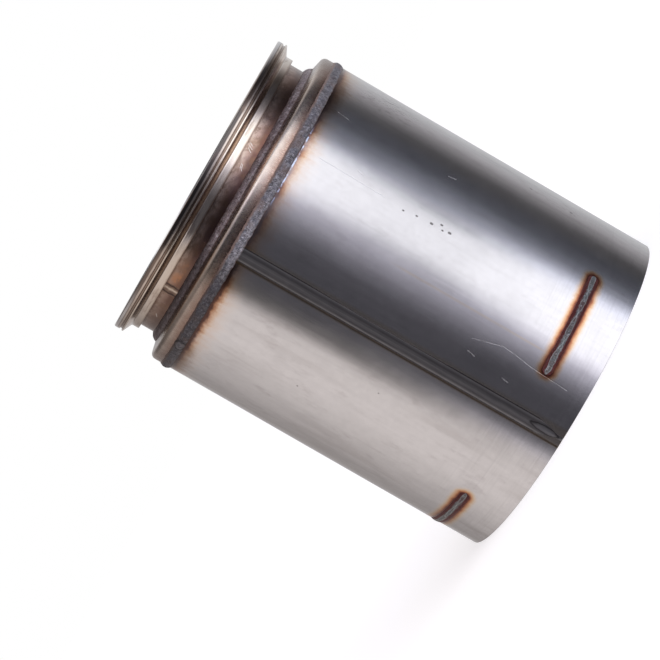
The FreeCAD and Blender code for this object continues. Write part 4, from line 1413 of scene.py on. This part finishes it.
def build_channel_tree():
    """Sinks each marked face: a wall is left round it and the rest goes down by the depth."""
    kinds = {"Geometry": ["Bars"], "Float": ["Opening", "Depth"], "Material": ["Ceramic"]}
    tree, given = open_tree("channels", kinds)
    marked = tree.nodes.new("GeometryNodeInputNamedAttribute")
    marked.data_type = "INT"
    marked.inputs["Name"].default_value = "channel"
    inset = tree.nodes.new("GeometryNodeExtrudeMesh")
    inset.inputs["Offset Scale"].default_value = 0.0
    tree.links.new(given.outputs["Bars"], inset.inputs["Mesh"])
    tree.links.new(marked.outputs["Attribute"], inset.inputs["Selection"])
    shrink = tree.nodes.new("GeometryNodeScaleElements")
    tree.links.new(inset.outputs["Mesh"], shrink.inputs["Geometry"])
    tree.links.new(inset.outputs["Top"], shrink.inputs["Selection"])
    tree.links.new(given.outputs["Opening"], shrink.inputs["Scale"])
    sink = tree.nodes.new("GeometryNodeExtrudeMesh")
    tree.links.new(shrink.outputs["Geometry"], sink.inputs["Mesh"])
    tree.links.new(inset.outputs["Top"], sink.inputs["Selection"])
    feed(tree, Field(tree, given.outputs["Depth"]) * -1.0, sink.inputs["Offset Scale"])
    return close_tree(tree, sink.outputs["Mesh"], given.outputs["Ceramic"])


ceramic = Surface("silicon_carbide", (0.23, 0.23, 0.24))
ceramic.coat(ceramic.clouds(16.0, 3.0).rise(0.4, 0.7) * 0.6, (0.17, 0.17, 0.175))
ceramic.coat(ceramic.clouds(0.7, 2.0, shift=3.0).rise(0.55, 0.75) * 0.5, (0.30, 0.30, 0.31))
# Painted shade: the open channels darken to black with depth below the face.
depth = (BLOCK_TOP - ceramic.z).op("MINIMUM", ceramic.z - BLOCK_BASE)
ceramic.coat(depth.rise(0.1, 3.5) * 0.9, (0.02, 0.02, 0.02))
ceramic_look = ceramic.finish(0.88, ceramic.clouds(0.6, 3.0, 0.6, 1.0) * 0.04, metallic=0.0)
channel_tree = build_channel_tree()
for row in range(SEGMENTS_ACROSS):
    low = min(abs(row - SEGMENTS_ACROSS / 2), abs(row + 1 - SEGMENTS_ACROSS / 2)) * pitch
    reach = math.sqrt(CORE_RADIUS ** 2 - low ** 2)
    columns = 2 * math.ceil((reach - CEMENT_JOINT) / pitch)
    bars = grown(f"segment_bars_{row + 1}", channel_tree, segment_row(f"bars_{row + 1}", row, columns), {
        "Opening": CELL_SHARE,
        "Depth": CELL_DEPTH * MM,
        "Ceramic": ceramic_look,
    }, sharp=20.0)
    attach(bars, "root")
    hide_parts(f"segment_row_{row + 1}")
